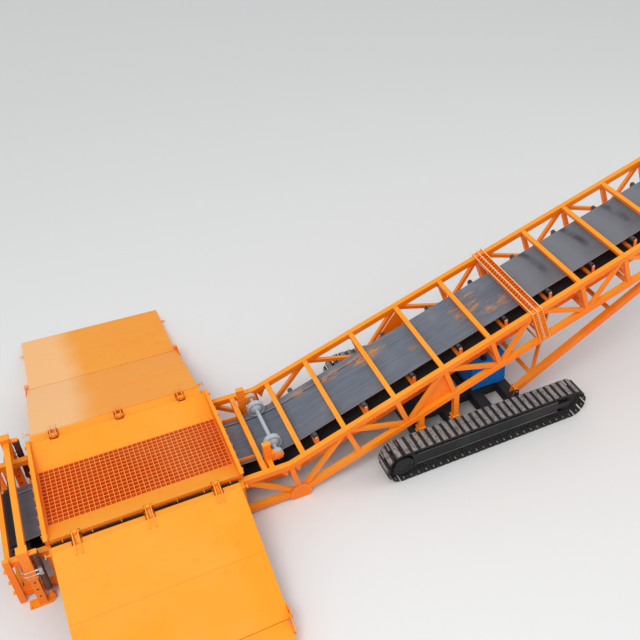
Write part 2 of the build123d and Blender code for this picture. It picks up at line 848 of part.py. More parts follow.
rib_xs = [ramp_start + rib_edge + (ramp_end - ramp_start - 2 * rib_edge) * index / (rib_count - 1)
          for index in range(rib_count)]
inner_drop = sheet / cos(inner_slope)
rib_drop = panel_ribs / cos(inner_slope)
under_skin = inner_drop + weld_gap
outer_drop = sheet / cos(outer_slope)

for side, word in words:
    with BuildPart() as ramp_inner:
        members = []
        edge_in = (side * ramp_edge_y, ramp_edge_z)
        edge_out = (side * (middle_y - panel_gap / 2), middle_z)
        skin = panel_strip(edge_in, edge_out, (0, 1), (0, inner_drop))
        members.append(across_plate(skin, ramp_start, ramp_end))
        for shares in bar_shares:
            bar = panel_strip(edge_in, edge_out, shares, (under_skin, rib_drop))
            members.append(across_plate(bar, ramp_start + rib_half, ramp_end - rib_half))
        for bar_behind, bar_ahead in zip(bar_shares[:-1], bar_shares[1:]):
            shares = (bar_behind[1] + share_gap, bar_ahead[0] - share_gap)
            rib = panel_strip(edge_in, edge_out, shares, (under_skin, rib_drop))
            for rib_x in rib_xs:
                members.append(across_plate(rib, rib_x - rib_half, rib_x + rib_half))
        foot = [
            (side * foot_in, 0),
            (side * foot_out, 0),
            (side * foot_out, inner_z(foot_out, rib_drop + weld_gap)),
            (side * foot_in, inner_z(foot_in, rib_drop + weld_gap)),
        ]
        for rib_x in rib_xs:
            members.append(across_plate(foot, rib_x - rib_half, rib_x + rib_half))
        strap_end_y = ramp_edge_y + strap_reach
        seat_y = ramp_edge_y - edge_seat
        strap = [
            (side * (hinge_y - heel_back), hinge_z + lug_over),
            (side * (hinge_y + strap_nose), hinge_z + lug_over),
            (side * strap_end_y, inner_z(strap_end_y, -strap_high)),
            (side * strap_end_y, inner_z(strap_end_y, -weld_gap)),
            (side * seat_y, inner_z(seat_y, -weld_gap)),
            (side * (hinge_y + eye_half), hinge_z - strap_deep),
            (side * (hinge_y - heel_back), hinge_z - strap_deep),
            (side * (hinge_y - eye_reach), hinge_z),
        ]
        for hinge_x in hinge_places:
            for strap_x in (hinge_x - strap_half, hinge_x + strap_half - strap_thick):
                members.append(eye_plate(strap, strap_x, strap_x + strap_thick))
        root_y = middle_y - ear_reach
        ear = [
            (side * root_y, inner_z(root_y, ear_root)),
            (side * root_y, inner_z(root_y, 0)),
            (side * (middle_y - eye_wide), middle_pin_z + eye_wide),
            (side * (middle_y + eye_half), middle_pin_z + eye_wide),
            (side * (middle_y + eye_wide), middle_pin_z),
            (side * (middle_y + eye_half), middle_pin_z - eye_low),
            (side * (middle_y - heel_back), middle_z - ear_root),
        ]
        for ear_x, pin_start in ((ear_places[0], 0), (ear_places[1], -stub_over)):
            members.append(eye_plate(ear, ear_x, ear_x + ear_thick))
            pin_low = (ear_x + pin_start, side * middle_y, middle_pin_z)
            pin_high = (ear_x + pin_start + stub_long, side * middle_y, middle_pin_z)
            members.append(rod(floor, pin_low, pin_high, middle_pin / 2))
        join_in, join_out = middle_y - join_reach, middle_y - inner_join
        join = [
            (side * join_in, inner_z(join_in, rib_drop)),
            (side * join_in, inner_z(join_in, under_skin)),
            (side * join_out, inner_z(join_out, under_skin)),
            (side * join_out, inner_z(join_out, rib_drop)),
        ]
        join_spans = (
            (ear_places[0] + ear_thick + weld_gap, rib_xs[0] - rib_half - weld_gap),
            (rib_xs[-1] + rib_half + weld_gap, ear_places[1] - weld_gap),
        )
        for join_start, join_end in join_spans:
            members.append(across_plate(join, join_start, join_end))
        add(members)
        for hinge_x in hinge_places:
            bore_start = (hinge_x - strap_half - bore_over, side * hinge_y, hinge_z)
            bore_end = (hinge_x + strap_half + bore_over, side * hinge_y, hinge_z)
            rod(floor, bore_start, bore_end, hinge_pin / 2 + hinge_clear, mode=Mode.SUBTRACT)
    save(ramp_inner, f"ramp_inner_{word}")

    with BuildPart() as ramp_outer:
        members = []
        start_x = ramp_start + outer_inset
        end_x = ramp_end - outer_inset
        edge_in = (side * (middle_y + panel_gap / 2), middle_z)
        edge_out = (side * ramp_end_y, ramp_end_z)
        skin = [
            edge_in,
            edge_out,
            (edge_out[0], 0),
            (edge_out[0] - side * toe_flat, 0),
            (edge_in[0], edge_in[1] - outer_drop),
        ]
        members.append(across_plate(skin, start_x, end_x))
        bar_out = middle_y + panel_gap / 2 + rib_edge
        bar_in = middle_y + panel_gap / 2
        bar = [
            (side * bar_in, 0),
            (side * bar_out, 0),
            (side * bar_out, outer_rest(bar_out)),
            (side * bar_in, outer_rest(bar_in)),
        ]
        members.append(across_plate(bar, start_x, end_x))
        wedge_in = bar_out + weld_gap
        wedge_out = ramp_end_y - wedge_short
        wedge = [
            (side * wedge_in, 0),
            (side * wedge_out, 0),
            (side * wedge_out, outer_rest(wedge_out)),
            (side * wedge_in, outer_rest(wedge_in)),
        ]
        for index in range(rib_count):
            rib_x = start_x + rib_half + (end_x - start_x - 2 * rib_half) * index / (rib_count - 1)
            members.append(across_plate(wedge, rib_x - rib_half, rib_x + rib_half))
        root_y = middle_y + ear_reach
        ear = [
            (side * root_y, outer_z(root_y, outer_root)),
            (side * root_y, outer_z(root_y, 0)),
            (side * (middle_y + eye_wide), middle_pin_z + eye_low),
            (side * (middle_y - eye_half), middle_pin_z + eye_low),
            (side * (middle_y - eye_reach), middle_pin_z),
            (side * (middle_y - heel_back), middle_pin_z - eye_reach),
            (side * (middle_y + eye_half), middle_z - outer_root),
        ]
        ear_spans = (
            (ear_places[0] + ear_step, ear_places[0] + ear_step + ear_thick + weld_gap, start_x - weld_gap),
            (ear_places[1] - ear_step, end_x + weld_gap, ear_places[1] - ear_step - weld_gap),
        )
        join_in, join_out = middle_y + outer_join, middle_y + join_reach
        join = [
            (side * join_in, outer_z(join_in, join_deep)),
            (side * join_in, outer_z(join_in, outer_drop)),
            (side * join_out, outer_z(join_out, outer_drop)),
            (side * join_out, outer_z(join_out, join_deep)),
        ]
        for ear_x, join_start, join_end in ear_spans:
            members.append(eye_plate(ear, ear_x, ear_x + ear_thick))
            members.append(across_plate(join, join_start, join_end))
        add(members)
        for ear_x, join_start, join_end in ear_spans:
            bore_start = (ear_x - bore_over, side * middle_y, middle_pin_z)
            bore_end = (ear_x + ear_thick + bore_over, side * middle_y, middle_pin_z)
            rod(floor, bore_start, bore_end, middle_pin / 2 + hinge_clear, mode=Mode.SUBTRACT)
    save(ramp_outer, f"ramp_outer_{word}")

# Rear jacks: a crossbeam with two sleeves, telescopic legs with feet, and a cylinder beside each

jack_y = truss_half + jack_out
sleeve_half = jack_sleeve / 2
bore_half = jack_leg / 2 + jack_clear
sleeve_low = jack_top - 685
leg_top = jack_top - 85
foot_back = 215
foot_flat = 105
foot_half = 90
foot_thick = 25
cylinder_x = jack_x + 155
barrel_radius = 55
barrel_low = 300
barrel_top = 1250
barrel_cap = 40
jack_rod = 25
rod_clear = 1
rod_top = barrel_top - 130
eye_z = 95
eye_radius = 30
eye_lap = 10
rod_eye = 20
lug_top = 130
lug_span = 45
lug_in = 24
lug_out = 39
beam_low_z = 1180
beam_top_z = 1300
sleeve_arm = 90
arm_lift = 5
cap_high = 30
with BuildPart() as jack_crossbeam:
    beam_half = jack_y - sleeve_half - weld_gap
    corner_low = (jack_x - post_half, -beam_half, beam_low_z)
    add(block(floor, corner_low, (jack_x + post_half, beam_half, beam_top_z)))
save(jack_crossbeam, "jack_crossbeam")

with BuildPart() as jack_sleeves:
    members = []
    for side in sides:
        y_mid = side * jack_y
        for toward in sides:
            x_low, x_high = sorted((jack_x + toward * bore_half, jack_x + toward * sleeve_half))
            corner_low = (x_low, y_mid - sleeve_half, sleeve_low)
            members.append(block(floor, corner_low, (x_high, y_mid + sleeve_half, jack_top)))
            y_low, y_high = sorted((y_mid + toward * bore_half, y_mid + toward * sleeve_half))
            corner_low = (jack_x - bore_half + weld_gap, y_low, sleeve_low)
            members.append(block(floor, corner_low, (jack_x + bore_half - weld_gap, y_high, jack_top)))
        arm_in = chord_out + weld_gap
        arm_out = jack_y - sleeve_half - weld_gap
        low_arm = (sleeve_low + arm_lift, sleeve_low + arm_lift + sleeve_arm)
        for arm_z, arm_high in ((chord_height - chord_half, chord_top), low_arm):
            arm_foot = (jack_x - post_half, arm_z)
            arm_head = (jack_x + post_half, arm_high)
            members.append(side_block(floor, side, arm_in, arm_out, arm_foot, arm_head))
        cap_foot = (jack_x + sleeve_half + weld_gap, barrel_top + weld_gap)
        cap_head = (cylinder_x + lug_span, barrel_top + weld_gap + cap_high)
        cap_in = jack_y - lug_span
        cap_out = jack_y + lug_span
        members.append(side_block(floor, side, cap_in, cap_out, cap_foot, cap_head))
    web_low = (jack_x - post_half, sleeve_low + arm_lift)
    web_high = (jack_x + post_half, chord_height - chord_half - weld_gap)
    for side in sides:
        members.append(side_block(floor, side, chord_out - sheet, chord_out, web_low, web_high))
    add(members)
save(jack_sleeves, "jack_sleeves")

for side, word in words:
    y_mid = side * jack_y
    with BuildPart() as jack_leg_part:
        leg_half = jack_leg / 2
        members = [
            block(
                floor,
                (jack_x - leg_half, y_mid - leg_half, foot_thick + weld_gap),
                (jack_x + leg_half, y_mid + leg_half, leg_top),
            )
        ]
        with BuildSketch(Plane(origin=(bend_x + jack_x, y_mid, 0))) as sole:
            with Locations(((foot_flat - foot_back) / 2, 0)):
                Rectangle(foot_flat + foot_back, 2 * foot_half)
            with Locations((foot_flat, 0)):
                Circle(foot_half)
        members.append(extrude(sole.sketch, amount=foot_thick, mode=Mode.PRIVATE))
        for lug_low, lug_high in ((-lug_out, -lug_in), (lug_in, lug_out)):
            corner_low = (cylinder_x - lug_span, y_mid + lug_low, foot_thick + weld_gap)
            members.append(block(floor, corner_low, (cylinder_x + lug_span, y_mid + lug_high, lug_top)))
        eye_place = (cylinder_x, eye_z)
        members.append(cross_rod(floor, eye_place, y_mid - lug_span, y_mid + lug_span, middle_pin / 2))
        members.append(rod(floor, (cylinder_x, y_mid, lug_top), (cylinder_x, y_mid, rod_top), jack_rod))
        eye_low = (cylinder_x - eye_radius, y_mid - rod_eye, eye_z - eye_radius)
        members.append(block(floor, eye_low, (cylinder_x + eye_radius, y_mid + rod_eye, lug_top + eye_lap)))
        add(members)
    save(jack_leg_part, f"jack_leg_{word}")

with BuildPart() as jack_cylinders:
    for side in sides:
        y_mid = side * jack_y
        add(rod(floor, (cylinder_x, y_mid, barrel_low), (cylinder_x, y_mid, barrel_top), barrel_radius))
        bore_start = (cylinder_x, y_mid, barrel_low - bore_over)
        bore_end = (cylinder_x, y_mid, barrel_top - barrel_cap)
        rod(floor, bore_start, bore_end, jack_rod + rod_clear, mode=Mode.SUBTRACT)
save(jack_cylinders, "jack_cylinders")

# Hold-down wheels press the belt edges where the level run turns up

press_edge = press_y + press_width / 2
press_rise = (press_edge - belt_flat_half) * tan(wing_angle)
press_reach = belt_bend_radius - press_rise - press_radius - press_gap
press_z = chord_height + arc_height - sqrt(press_reach**2 - (press_x - arc_x) ** 2)
press_post_x = press_x - 195
post_wide = 70
press_post_in = 810
press_post_out = 910
press_shaft = 40
press_shaft_half = 950
rim_radius = press_radius - 18
web_half = 15
hub_radius = 60
hub_half = 85
press_place = (press_x, press_z)
wheel_side = [
    (press_radius, press_width / 2),
    (rim_radius, press_width / 2),
    (rim_radius, web_half),
    (hub_radius, hub_half),
    (0, hub_half),
]
wheel_outline = wheel_side + [(reach, -along) for reach, along in reversed(wheel_side)]
with BuildPart() as hold_down_wheels:
    for side in sides:
        wheel_centre = spot(floor, (press_x, side * press_y, press_z))
        with BuildSketch(Plane(origin=wheel_centre, x_dir=(1, 0, 0), z_dir=(0, 0, 1))) as wheel_face:
            with BuildLine():
                Polyline(*wheel_outline, close=True)
            make_face()
        revolve(wheel_face.sketch, axis=Axis(wheel_centre, (0, 1, 0)))
    add(cross_rod(floor, press_place, -press_shaft_half, press_shaft_half, press_shaft))
save(hold_down_wheels, "hold_down_wheels")

housing_in = 820
housing_out = 930
housing_radius = 95
press_post_top = 1345
post_face = press_post_x + post_wide
with BuildPart() as hold_down_posts:
    members = []
    for side in sides:
        post_low = (press_post_x - post_wide, chord_height + stringer_top + weld_gap)
        post_high = (post_face, press_post_top)
        members.append(side_block(floor, side, press_post_in, press_post_out, post_low, post_high))
        arm_low = (press_post_x - post_half, chord_height - post_half)
        arm_high = (press_post_x + post_half, chord_height + post_half)
        arm_in = press_post_out + weld_gap
        members.append(side_block(floor, side, arm_in, chord_in - weld_gap, arm_low, arm_high))
        base_corner = (post_face + weld_gap, press_z - housing_radius)
        base_high = (press_x, press_z + housing_radius)
        members.append(side_block(floor, side, housing_in, housing_out, base_corner, base_high))
        housing = cross_rod(floor, press_place, side * housing_in, side * housing_out, housing_radius)
        members.append(housing)
    add(members)
    cross_rod(floor, press_place, -chord_in, chord_in, press_shaft + shaft_clear, mode=Mode.SUBTRACT)
save(hold_down_posts, "hold_down_posts")

# Undercarriage: cross-beams, track frames, wheels and the two endless tracks

track_half = chord_out + track_gap + shoe_width / 2
wheel_base = shoes_between * shoe_pitch
pitch_radius = (shoe_count - 2 * shoes_between) * shoe_pitch / (2 * pi)
link_half = 40
shoe_inside = pitch_radius + link_half - 2
outer_radius = shoe_inside + shoe_thick + pad_thick
track_front = track_rear + wheel_base
loop_length = shoe_count * shoe_pitch


def loop_place(distance):
    """Position and direction at a distance round the track loop, at the pin line."""
    distance = distance % loop_length
    turn = pi * pitch_radius
    if distance < wheel_base:
        return track_rear + distance, outer_radius + pitch_radius, 0.0
    distance -= wheel_base
    if distance < turn:
        angle = distance / pitch_radius
        return (
            track_front + pitch_radius * sin(angle),
            outer_radius + pitch_radius * cos(angle),
            -degrees(angle),
        )
    distance -= turn
    if distance < wheel_base:
        return track_front - distance, outer_radius - pitch_radius, 180.0
    distance -= wheel_base
    angle = distance / pitch_radius
    return (
        track_rear - pitch_radius * sin(angle),
        outer_radius - pitch_radius * cos(angle),
        180 - degrees(angle),
    )


shoe_gap = 3
pad_half = 46
chain_half = 80
link_in = pitch_radius - link_half
for side, word in words:
    y_mid = side * track_half
    with BuildPart() as crawler_track:
        link_out = shoe_inside + shoe_thick / 2
        ring_plane = Plane(origin=(bend_x, y_mid + chain_half, 0), x_dir=(1, 0, 0), z_dir=(0, -1, 0))
        with BuildSketch(ring_plane) as chain:
            with Locations(((track_rear + track_front) / 2, outer_radius)):
                SlotCenterToCenter(wheel_base, 2 * link_out)
                SlotCenterToCenter(wheel_base, 2 * link_in, mode=Mode.SUBTRACT)
        extrude(chain.sketch, amount=2 * chain_half)
        shoe_z = shoe_inside - pitch_radius
        shoe_reach = shoe_pitch / 2 - shoe_gap
        shoe_outline = [
            (-shoe_reach, shoe_z),
            (shoe_reach, shoe_z),
            (shoe_reach, shoe_z + shoe_thick),
            (pad_half, shoe_z + shoe_thick + pad_thick),
            (-pad_half, shoe_z + shoe_thick + pad_thick),
            (-shoe_reach, shoe_z + shoe_thick),
        ]
        shoes = []
        for index in range(shoe_count):
            along, height, heading = loop_place((index + 0.5) * shoe_pitch)
            turn = radians(heading)
            seat = Plane(
                origin=(bend_x + along, y_mid, height),
                x_dir=(cos(turn), 0, sin(turn)),
                z_dir=(-sin(turn), 0, cos(turn)),
            )
            shoes.append(plate(seat, shoe_outline, -shoe_width / 2, shoe_width / 2))
        add(shoes)
    save(crawler_track, f"crawler_track_{word}")

frame_half = 150
frame_set_back = 330
frame_above = 170
frame_below = 130
frame_arm = 40
arm_tall = 60
cover_radius = 215
cover_thick = 45
with BuildPart() as track_frames:
    members = []
    for side in sides:
        y_mid = side * track_half
        corner_low = (track_rear + frame_set_back, y_mid - frame_half, outer_radius - frame_below)
        corner_high = (track_front - frame_set_back, y_mid + frame_half, outer_radius + frame_above)
        members.append(block(floor, corner_low, corner_high))
        for wheel_x, toward in ((track_rear, 1), (track_front, -1)):
            arm_ends = (wheel_x, wheel_x + toward * (frame_set_back - weld_gap))
            arm_low, arm_high = sorted(arm_ends)
            for arm_y in (-frame_half, frame_half - frame_arm):
                corner_low = (arm_low, y_mid + arm_y, outer_radius - arm_tall)
                corner_high = (arm_high, y_mid + arm_y + frame_arm, outer_radius + arm_tall)
                members.append(block(floor, corner_low, corner_high))
        cover_in = y_mid + side * (frame_half + weld_gap)
        cover_out = cover_in + side * cover_thick
        members.append(cross_rod(floor, (track_rear, outer_radius), cover_in, cover_out, cover_radius))
    add(members)
save(track_frames, "track_frames")

# Track wheels: one at each end of a track, and small rollers between the frame and the lower run

wheel_half = 70
wheel_gap = 0.5
axle_radius = 60
axle_half = frame_half - frame_arm - weld_gap
roller_count = 6
lower_roller_radius = (link_in - frame_below) / 2 - wheel_gap
lower_roller_z = outer_radius - (link_in + frame_below) / 2
roller_run = wheel_base - 2 * frame_set_back - 4 * lower_roller_radius
with BuildPart() as track_wheels:
    members = []
    for side in sides:
        y_low = side * track_half - wheel_half
        y_high = side * track_half + wheel_half
        for wheel_x in (track_rear, track_front):
            place = (wheel_x, outer_radius)
            axle_low = side * track_half - axle_half
            axle_high = side * track_half + axle_half
            wheel = cross_rod(floor, place, y_low, y_high, link_in - wheel_gap)
            members.append(wheel + cross_rod(floor, place, axle_low, axle_high, axle_radius))
        first_x = track_rear + frame_set_back + 2 * lower_roller_radius
        for index in range(roller_count):
            place = (first_x + roller_run * index / (roller_count - 1), lower_roller_z)
            members.append(cross_rod(floor, place, y_low, y_high, lower_roller_radius))
    add(members)
save(track_wheels, "track_wheels")

beam_places = [2773, 3573, 4380, 5070]
rail_in = 500
rail_out = 620
rail_inset = 40
deck_half = 900
deck_sheet = 20
beam_end = track_half - frame_half - weld_gap
beam_low = deck_height - beam_deep
with BuildPart() as chassis_beams:
    members = []
    for beam_x in beam_places:
        corner_low = (beam_x - beam_wide / 2, -beam_end, beam_low)
        members.append(block(floor, corner_low, (beam_x + beam_wide / 2, beam_end, deck_height)))
    for beam_x, next_x in zip(beam_places[:-1], beam_places[1:]):
        span_start = beam_x + beam_wide / 2 + weld_gap
        span_end = next_x - beam_wide / 2 - weld_gap
        rail_low = (span_start, beam_low + rail_inset)
        rail_high = (span_end, deck_height - rail_inset)
        for side in sides:
            members.append(side_block(floor, side, rail_in, rail_out, rail_low, rail_high))
    span_start = beam_places[0] + beam_wide / 2 + weld_gap
    span_end = beam_places[1] - beam_wide / 2 - weld_gap
    deck_low = (span_start, -deck_half, deck_height - deck_sheet)
    members.append(block(floor, deck_low, (span_end, deck_half, deck_height)))
    add(members)
save(chassis_beams, "chassis_beams")

# Support legs between the chassis and the bottom chords


def low_chord_z(along):
    """Height just under the inclined bottom chord at a distance from the bend."""
    centre = chord_height + low + (along + low * half_tilt) * tan(tilt)
    return centre - (chord_half + weld_gap) / cos(tilt)


leg_half = 60
pad_half_wide = 95
pad_high = 18
collar_half = 85
collar_high = 35
collar_lift = 100
with BuildPart() as support_legs:
    members = []
    for leg_x in beam_places[:2]:
        for side in sides:
            y_mid = side * truss_half
            top_left = low_chord_z(leg_x - leg_half)
            top_right = low_chord_z(leg_x + leg_half)
            collar_z = min(deck_height + collar_lift, (deck_height + top_left) / 2)
            stack = [
                (pad_half_wide, deck_height + weld_gap, deck_height + pad_high),
                (leg_half, deck_height + pad_high + weld_gap, collar_z),
                (collar_half, collar_z + weld_gap, collar_z + collar_high),
            ]
            for half, z_low, z_high in stack:
                corner_low = (leg_x - half, y_mid - half, z_low)
                members.append(block(floor, corner_low, (leg_x + half, y_mid + half, z_high)))
            leg_foot = collar_z + collar_high + weld_gap
            leg = [
                (leg_x - leg_half, leg_foot),
                (leg_x + leg_half, leg_foot),
                (leg_x + leg_half, top_right),
                (leg_x - leg_half, top_left),
            ]
            members.append(plate(floor, leg, y_mid - leg_half, y_mid + leg_half))
    add(members)
save(support_legs, "support_legs")

# Struts from the front cross-beam up to the boom, with cross ties and diagonals between them

strut_size = 140
strut_inset = 130
strut_lift = 110
foot_ahead = 60
pin_drop = 80
strut_y = truss_half - strut_inset
strut_foot = (beam_places[-1] + foot_ahead, deck_height + strut_lift)
strut_node = node_s[8]
strut_drop = -truss_depth - chord_half - pin_drop
strut_head_world = spot(incline, (strut_node, 0, strut_drop))
strut_head = (strut_head_world.X - bend_x, strut_head_world.Z)
strut_run = Vector(strut_head[0] - strut_foot[0], 0, strut_head[1] - strut_foot[1])
strut_plane = Plane(origin=spot(floor, (strut_foot[0], 0, strut_foot[1])), x_dir=strut_run.normalized(),
                    z_dir=strut_run.cross(Vector(0, 1, 0)))
tie_shares = (0.09, 0.5, 0.93)
tie_half = 45
tie_brace = 70
strut_half = strut_size / 2
tie_in = strut_y - strut_half - weld_gap
with BuildPart() as struts:
    members = []
    for side in sides:
        members.append(side_block(strut_plane, side, strut_y - strut_half, strut_y + strut_half,
                                  (0, -strut_half), (strut_run.length, strut_half)))
    for share in tie_shares:
        tie_x = strut_run.length * share
        tie_corner = (tie_x - tie_half, -tie_in, -tie_half)
        members.append(block(strut_plane, tie_corner, (tie_x + tie_half, tie_in, tie_half)))
    for behind, ahead, toward in ((tie_shares[0], tie_shares[1], 1), (tie_shares[1], tie_shares[2], -1)):
        room_start = strut_run.length * behind + tie_half + weld_gap
        room_end = strut_run.length * ahead - tie_half - weld_gap
        room = [(room_start, -tie_in), (room_end, -tie_in), (room_end, tie_in), (room_start, tie_in)]
        start, end = (room_start, -toward * tie_in), (room_end, toward * tie_in)
        members.append(brace(strut_plane, start, end, tie_brace, tie_brace, room))
    add(members)
save(struts, "struts")

cheek_thick = 20
foot_wide = 70
foot_over = 60
head_wide = 90
head_over = 80
cheek_taper = 35
with BuildPart() as strut_clevises:
    members = []
    cheek_foot = [
        (strut_foot[0] - foot_wide, deck_height + weld_gap),
        (strut_foot[0] + foot_wide, deck_height + weld_gap),
        (strut_foot[0] + foot_wide - cheek_taper, strut_foot[1] + foot_over),
        (strut_foot[0] - foot_wide + cheek_taper, strut_foot[1] + foot_over),
    ]
    cheek_head = [
        (strut_node - head_wide, low - chord_half - weld_gap),
        (strut_node + head_wide, low - chord_half - weld_gap),
        (strut_node + head_wide - cheek_taper, strut_drop - head_over),
        (strut_node - head_wide + cheek_taper, strut_drop - head_over),
    ]
    for side in sides:
        for cheek in sides:
            centre_y = side * strut_y + cheek * (strut_half + cheek_thick / 2 + weld_gap)
            y_low = centre_y - cheek_thick / 2
            y_high = centre_y + cheek_thick / 2
            members.append(plate(floor, cheek_foot, y_low, y_high))
            members.append(plate(incline, cheek_head, y_low, y_high))
    add(members)
save(strut_clevises, "strut_clevises")

# Power pack on the front two cross-beams: a skid and a cabinet with rounded corners

skid_high = 90
skid_inset = 30
pack_half = 600
pack_high = 740
pack_corner = 70
pack_start = beam_places[2] - 80
pack_end = beam_places[3] + 110
skid_top = deck_height + skid_high
with BuildPart() as power_pack:
    skid_low = (pack_start + skid_inset, -pack_half + skid_inset, deck_height + weld_gap)
    add(block(floor, skid_low, (pack_end - skid_inset, pack_half - skid_inset, skid_top)))
    with BuildSketch(Plane(origin=(bend_x + (pack_start + pack_end) / 2, 0, skid_top))) as cabinet:
        RectangleRounded(pack_end - pack_start, 2 * pack_half, pack_corner)
    extrude(cabinet.sketch, amount=pack_high - skid_high)
save(power_pack, "power_pack")

# Head end: cheeks with bearings, drive and discharge hood

cheek_y = 760
cheek_sheet = 12
cheek_start = chord_end + weld_gap
hood_top = -60
hood_plate = 12
mount_deep = 60
mount_half = 40
mount_heights = (-100, low + 20)
roof_back = 200
cheek_out = cheek_y + cheek_sheet
with BuildPart() as head_cheeks:
    members = []
    outline = [(cheek_start, hood_top), (hood_s, hood_top), (hood_s, hood_low), (cheek_start, hood_low)]
    for side in sides:
        y_low, y_high = sorted((side * cheek_y, side * cheek_out))
        members.append(plate(incline, outline, y_low, y_high))
        for height in mount_heights:
            mount_low = (cheek_start, height - mount_half)
            mount_high = (cheek_start + mount_deep, height + mount_half)
            members.append(side_block(incline, side, cheek_out + weld_gap, chord_out, mount_low, mount_high))
    hood_in = cheek_y - weld_gap
    members.append(block(incline, (hood_s - hood_plate, -hood_in, hood_low), (hood_s, hood_in, hood_top)))
    roof_low = (head_pulley_s - roof_back, -hood_in, hood_top - hood_plate)
    members.append(block(incline, roof_low, (hood_s - hood_plate - weld_gap, hood_in, hood_top)))
    add(members)
    bore_place = (head_pulley_s, pulley_height)
    cross_rod(incline, bore_place, -chord_in, chord_in, shaft_size / 2 + pulley_clear, mode=Mode.SUBTRACT)
save(head_cheeks, "head_cheeks")

bearing_wide = 90
bearing_half = 110
bearing_high = 90
arm_above = 30
head_bearing_y = cheek_out + weld_gap
tail_bearing_y = 780
bearing_sets = ((incline, head_pulley_s, head_bearing_y), (level, tail_x, tail_bearing_y))
bearing_bore = shaft_size / 2 + shaft_clear
with BuildPart() as pulley_bearings:
    members = []
    for frame, along, inner_y in bearing_sets:
        for side in sides:
            box_low = (along - bearing_half, pulley_height - bearing_high)
            box_high = (along + bearing_half, pulley_height + bearing_high)
            members.append(side_block(frame, side, inner_y, inner_y + bearing_wide, box_low, box_high))
    arm_in = tail_bearing_y + bearing_wide + weld_gap
    arm_out = truss_half - post_half - weld_gap
    arm_low = (tail_x - post_half, pulley_height - bearing_high)
    arm_high = (tail_x + post_half, pulley_height + arm_above)
    for side in sides:
        members.append(side_block(level, side, arm_in, arm_out, arm_low, arm_high))
    add(members)
    for frame, along, inner_y in bearing_sets:
        bore_place = (along, pulley_height)
        cross_rod(frame, bore_place, -chord_in, chord_in, bearing_bore, mode=Mode.SUBTRACT)
save(pulley_bearings, "pulley_bearings")

drive_over = 30
drive_out = shaft_drive + drive_over
drive_half = 170
drive_high = 150
motor_radius = 130
motor_ahead = 30
motor_out = 1600
with BuildPart() as head_drive:
    drive_low = (head_pulley_s - drive_half, pulley_height - drive_high)
    drive_in = head_bearing_y + bearing_wide + weld_gap
    drive_corner = (head_pulley_s + drive_half, pulley_height + drive_high)
    add(side_block(incline, -1, drive_in, drive_out, drive_low, drive_corner))
    bore_end = -shaft_drive - roller_gap
    cross_rod(incline, (head_pulley_s, pulley_height), bore_end, 0, bearing_bore, mode=Mode.SUBTRACT)
    motor_place = (head_pulley_s + motor_ahead, pulley_height)
    add(cross_rod(incline, motor_place, -drive_out - weld_gap, -motor_out, motor_radius))
save(head_drive, "head_drive")

# Tail end frame across the back of the machine

tail_post_in = chord_out
tail_post_out = chord_out + 80
tail_post_high = 1100
tail_post_low = 20
tail_beam = 80
with BuildPart() as tail_frame:
    members = []
    for side in sides:
        post_low = (-tail_reach, tail_post_low)
        members.append(side_block(floor, side, tail_post_in, tail_post_out, post_low,
                                  (-tail_reach + tail_deep, tail_post_high)))
    beam_half = tail_post_in - weld_gap
    for height in (chord_height, chord_height + low):
        corner_low = (-tail_reach + tail_deep - tail_beam, -beam_half, height - chord_half)
        members.append(block(floor, corner_low, (-tail_reach + tail_deep, beam_half, height + chord_half)))
    add(members)
save(tail_frame, "tail_frame")

# Skirt boards beside the belt, hung from the grate and running on past the hopper

skirt_half = 590
skirt_gap = 8
skirt_inset = 20
skirt_out = skirt_half + sheet
skirt_low = chord_height - belt_drop + (skirt_out - belt_flat_half) * tan(wing_angle) + skirt_gap
skirt_end = min(arc_x, level_cross - cross_size / 2) - weld_gap
with BuildPart() as skirt_boards:
    board_low = (hopper_start + skirt_inset, skirt_low)
    board_high = (skirt_end, grate_z - grate_depth - weld_gap)
    for side in sides:
        add(side_block(floor, side, skirt_half, skirt_out, board_low, board_high))
save(skirt_boards, "skirt_boards")
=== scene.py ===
"""Looks of the tracked truck unloader: its finishes and fine pieces, the camera and the stage."""

import json
import math

import bmesh
import bpy
from mathutils import Matrix, Vector


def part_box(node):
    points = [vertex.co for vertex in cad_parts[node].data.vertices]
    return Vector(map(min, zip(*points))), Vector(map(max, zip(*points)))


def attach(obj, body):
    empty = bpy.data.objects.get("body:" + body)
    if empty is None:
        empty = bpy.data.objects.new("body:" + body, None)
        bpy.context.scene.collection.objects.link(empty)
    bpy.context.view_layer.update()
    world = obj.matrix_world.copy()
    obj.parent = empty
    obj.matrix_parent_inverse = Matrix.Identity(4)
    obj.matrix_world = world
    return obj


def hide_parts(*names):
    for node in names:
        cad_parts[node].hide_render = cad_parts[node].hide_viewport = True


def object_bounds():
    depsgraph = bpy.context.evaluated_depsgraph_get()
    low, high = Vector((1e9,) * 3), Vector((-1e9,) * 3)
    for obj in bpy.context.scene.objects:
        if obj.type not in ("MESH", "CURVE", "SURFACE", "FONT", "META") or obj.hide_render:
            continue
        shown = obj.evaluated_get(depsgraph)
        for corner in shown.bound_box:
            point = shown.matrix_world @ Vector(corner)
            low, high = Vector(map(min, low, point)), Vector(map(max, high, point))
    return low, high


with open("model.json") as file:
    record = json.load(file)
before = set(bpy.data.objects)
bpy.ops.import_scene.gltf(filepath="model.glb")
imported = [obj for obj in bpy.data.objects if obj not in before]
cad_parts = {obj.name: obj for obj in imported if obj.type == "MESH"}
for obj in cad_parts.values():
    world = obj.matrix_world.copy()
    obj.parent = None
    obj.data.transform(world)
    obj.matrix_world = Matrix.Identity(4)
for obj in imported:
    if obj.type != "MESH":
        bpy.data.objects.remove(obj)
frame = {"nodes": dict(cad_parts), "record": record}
CAD_LOW, CAD_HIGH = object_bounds()

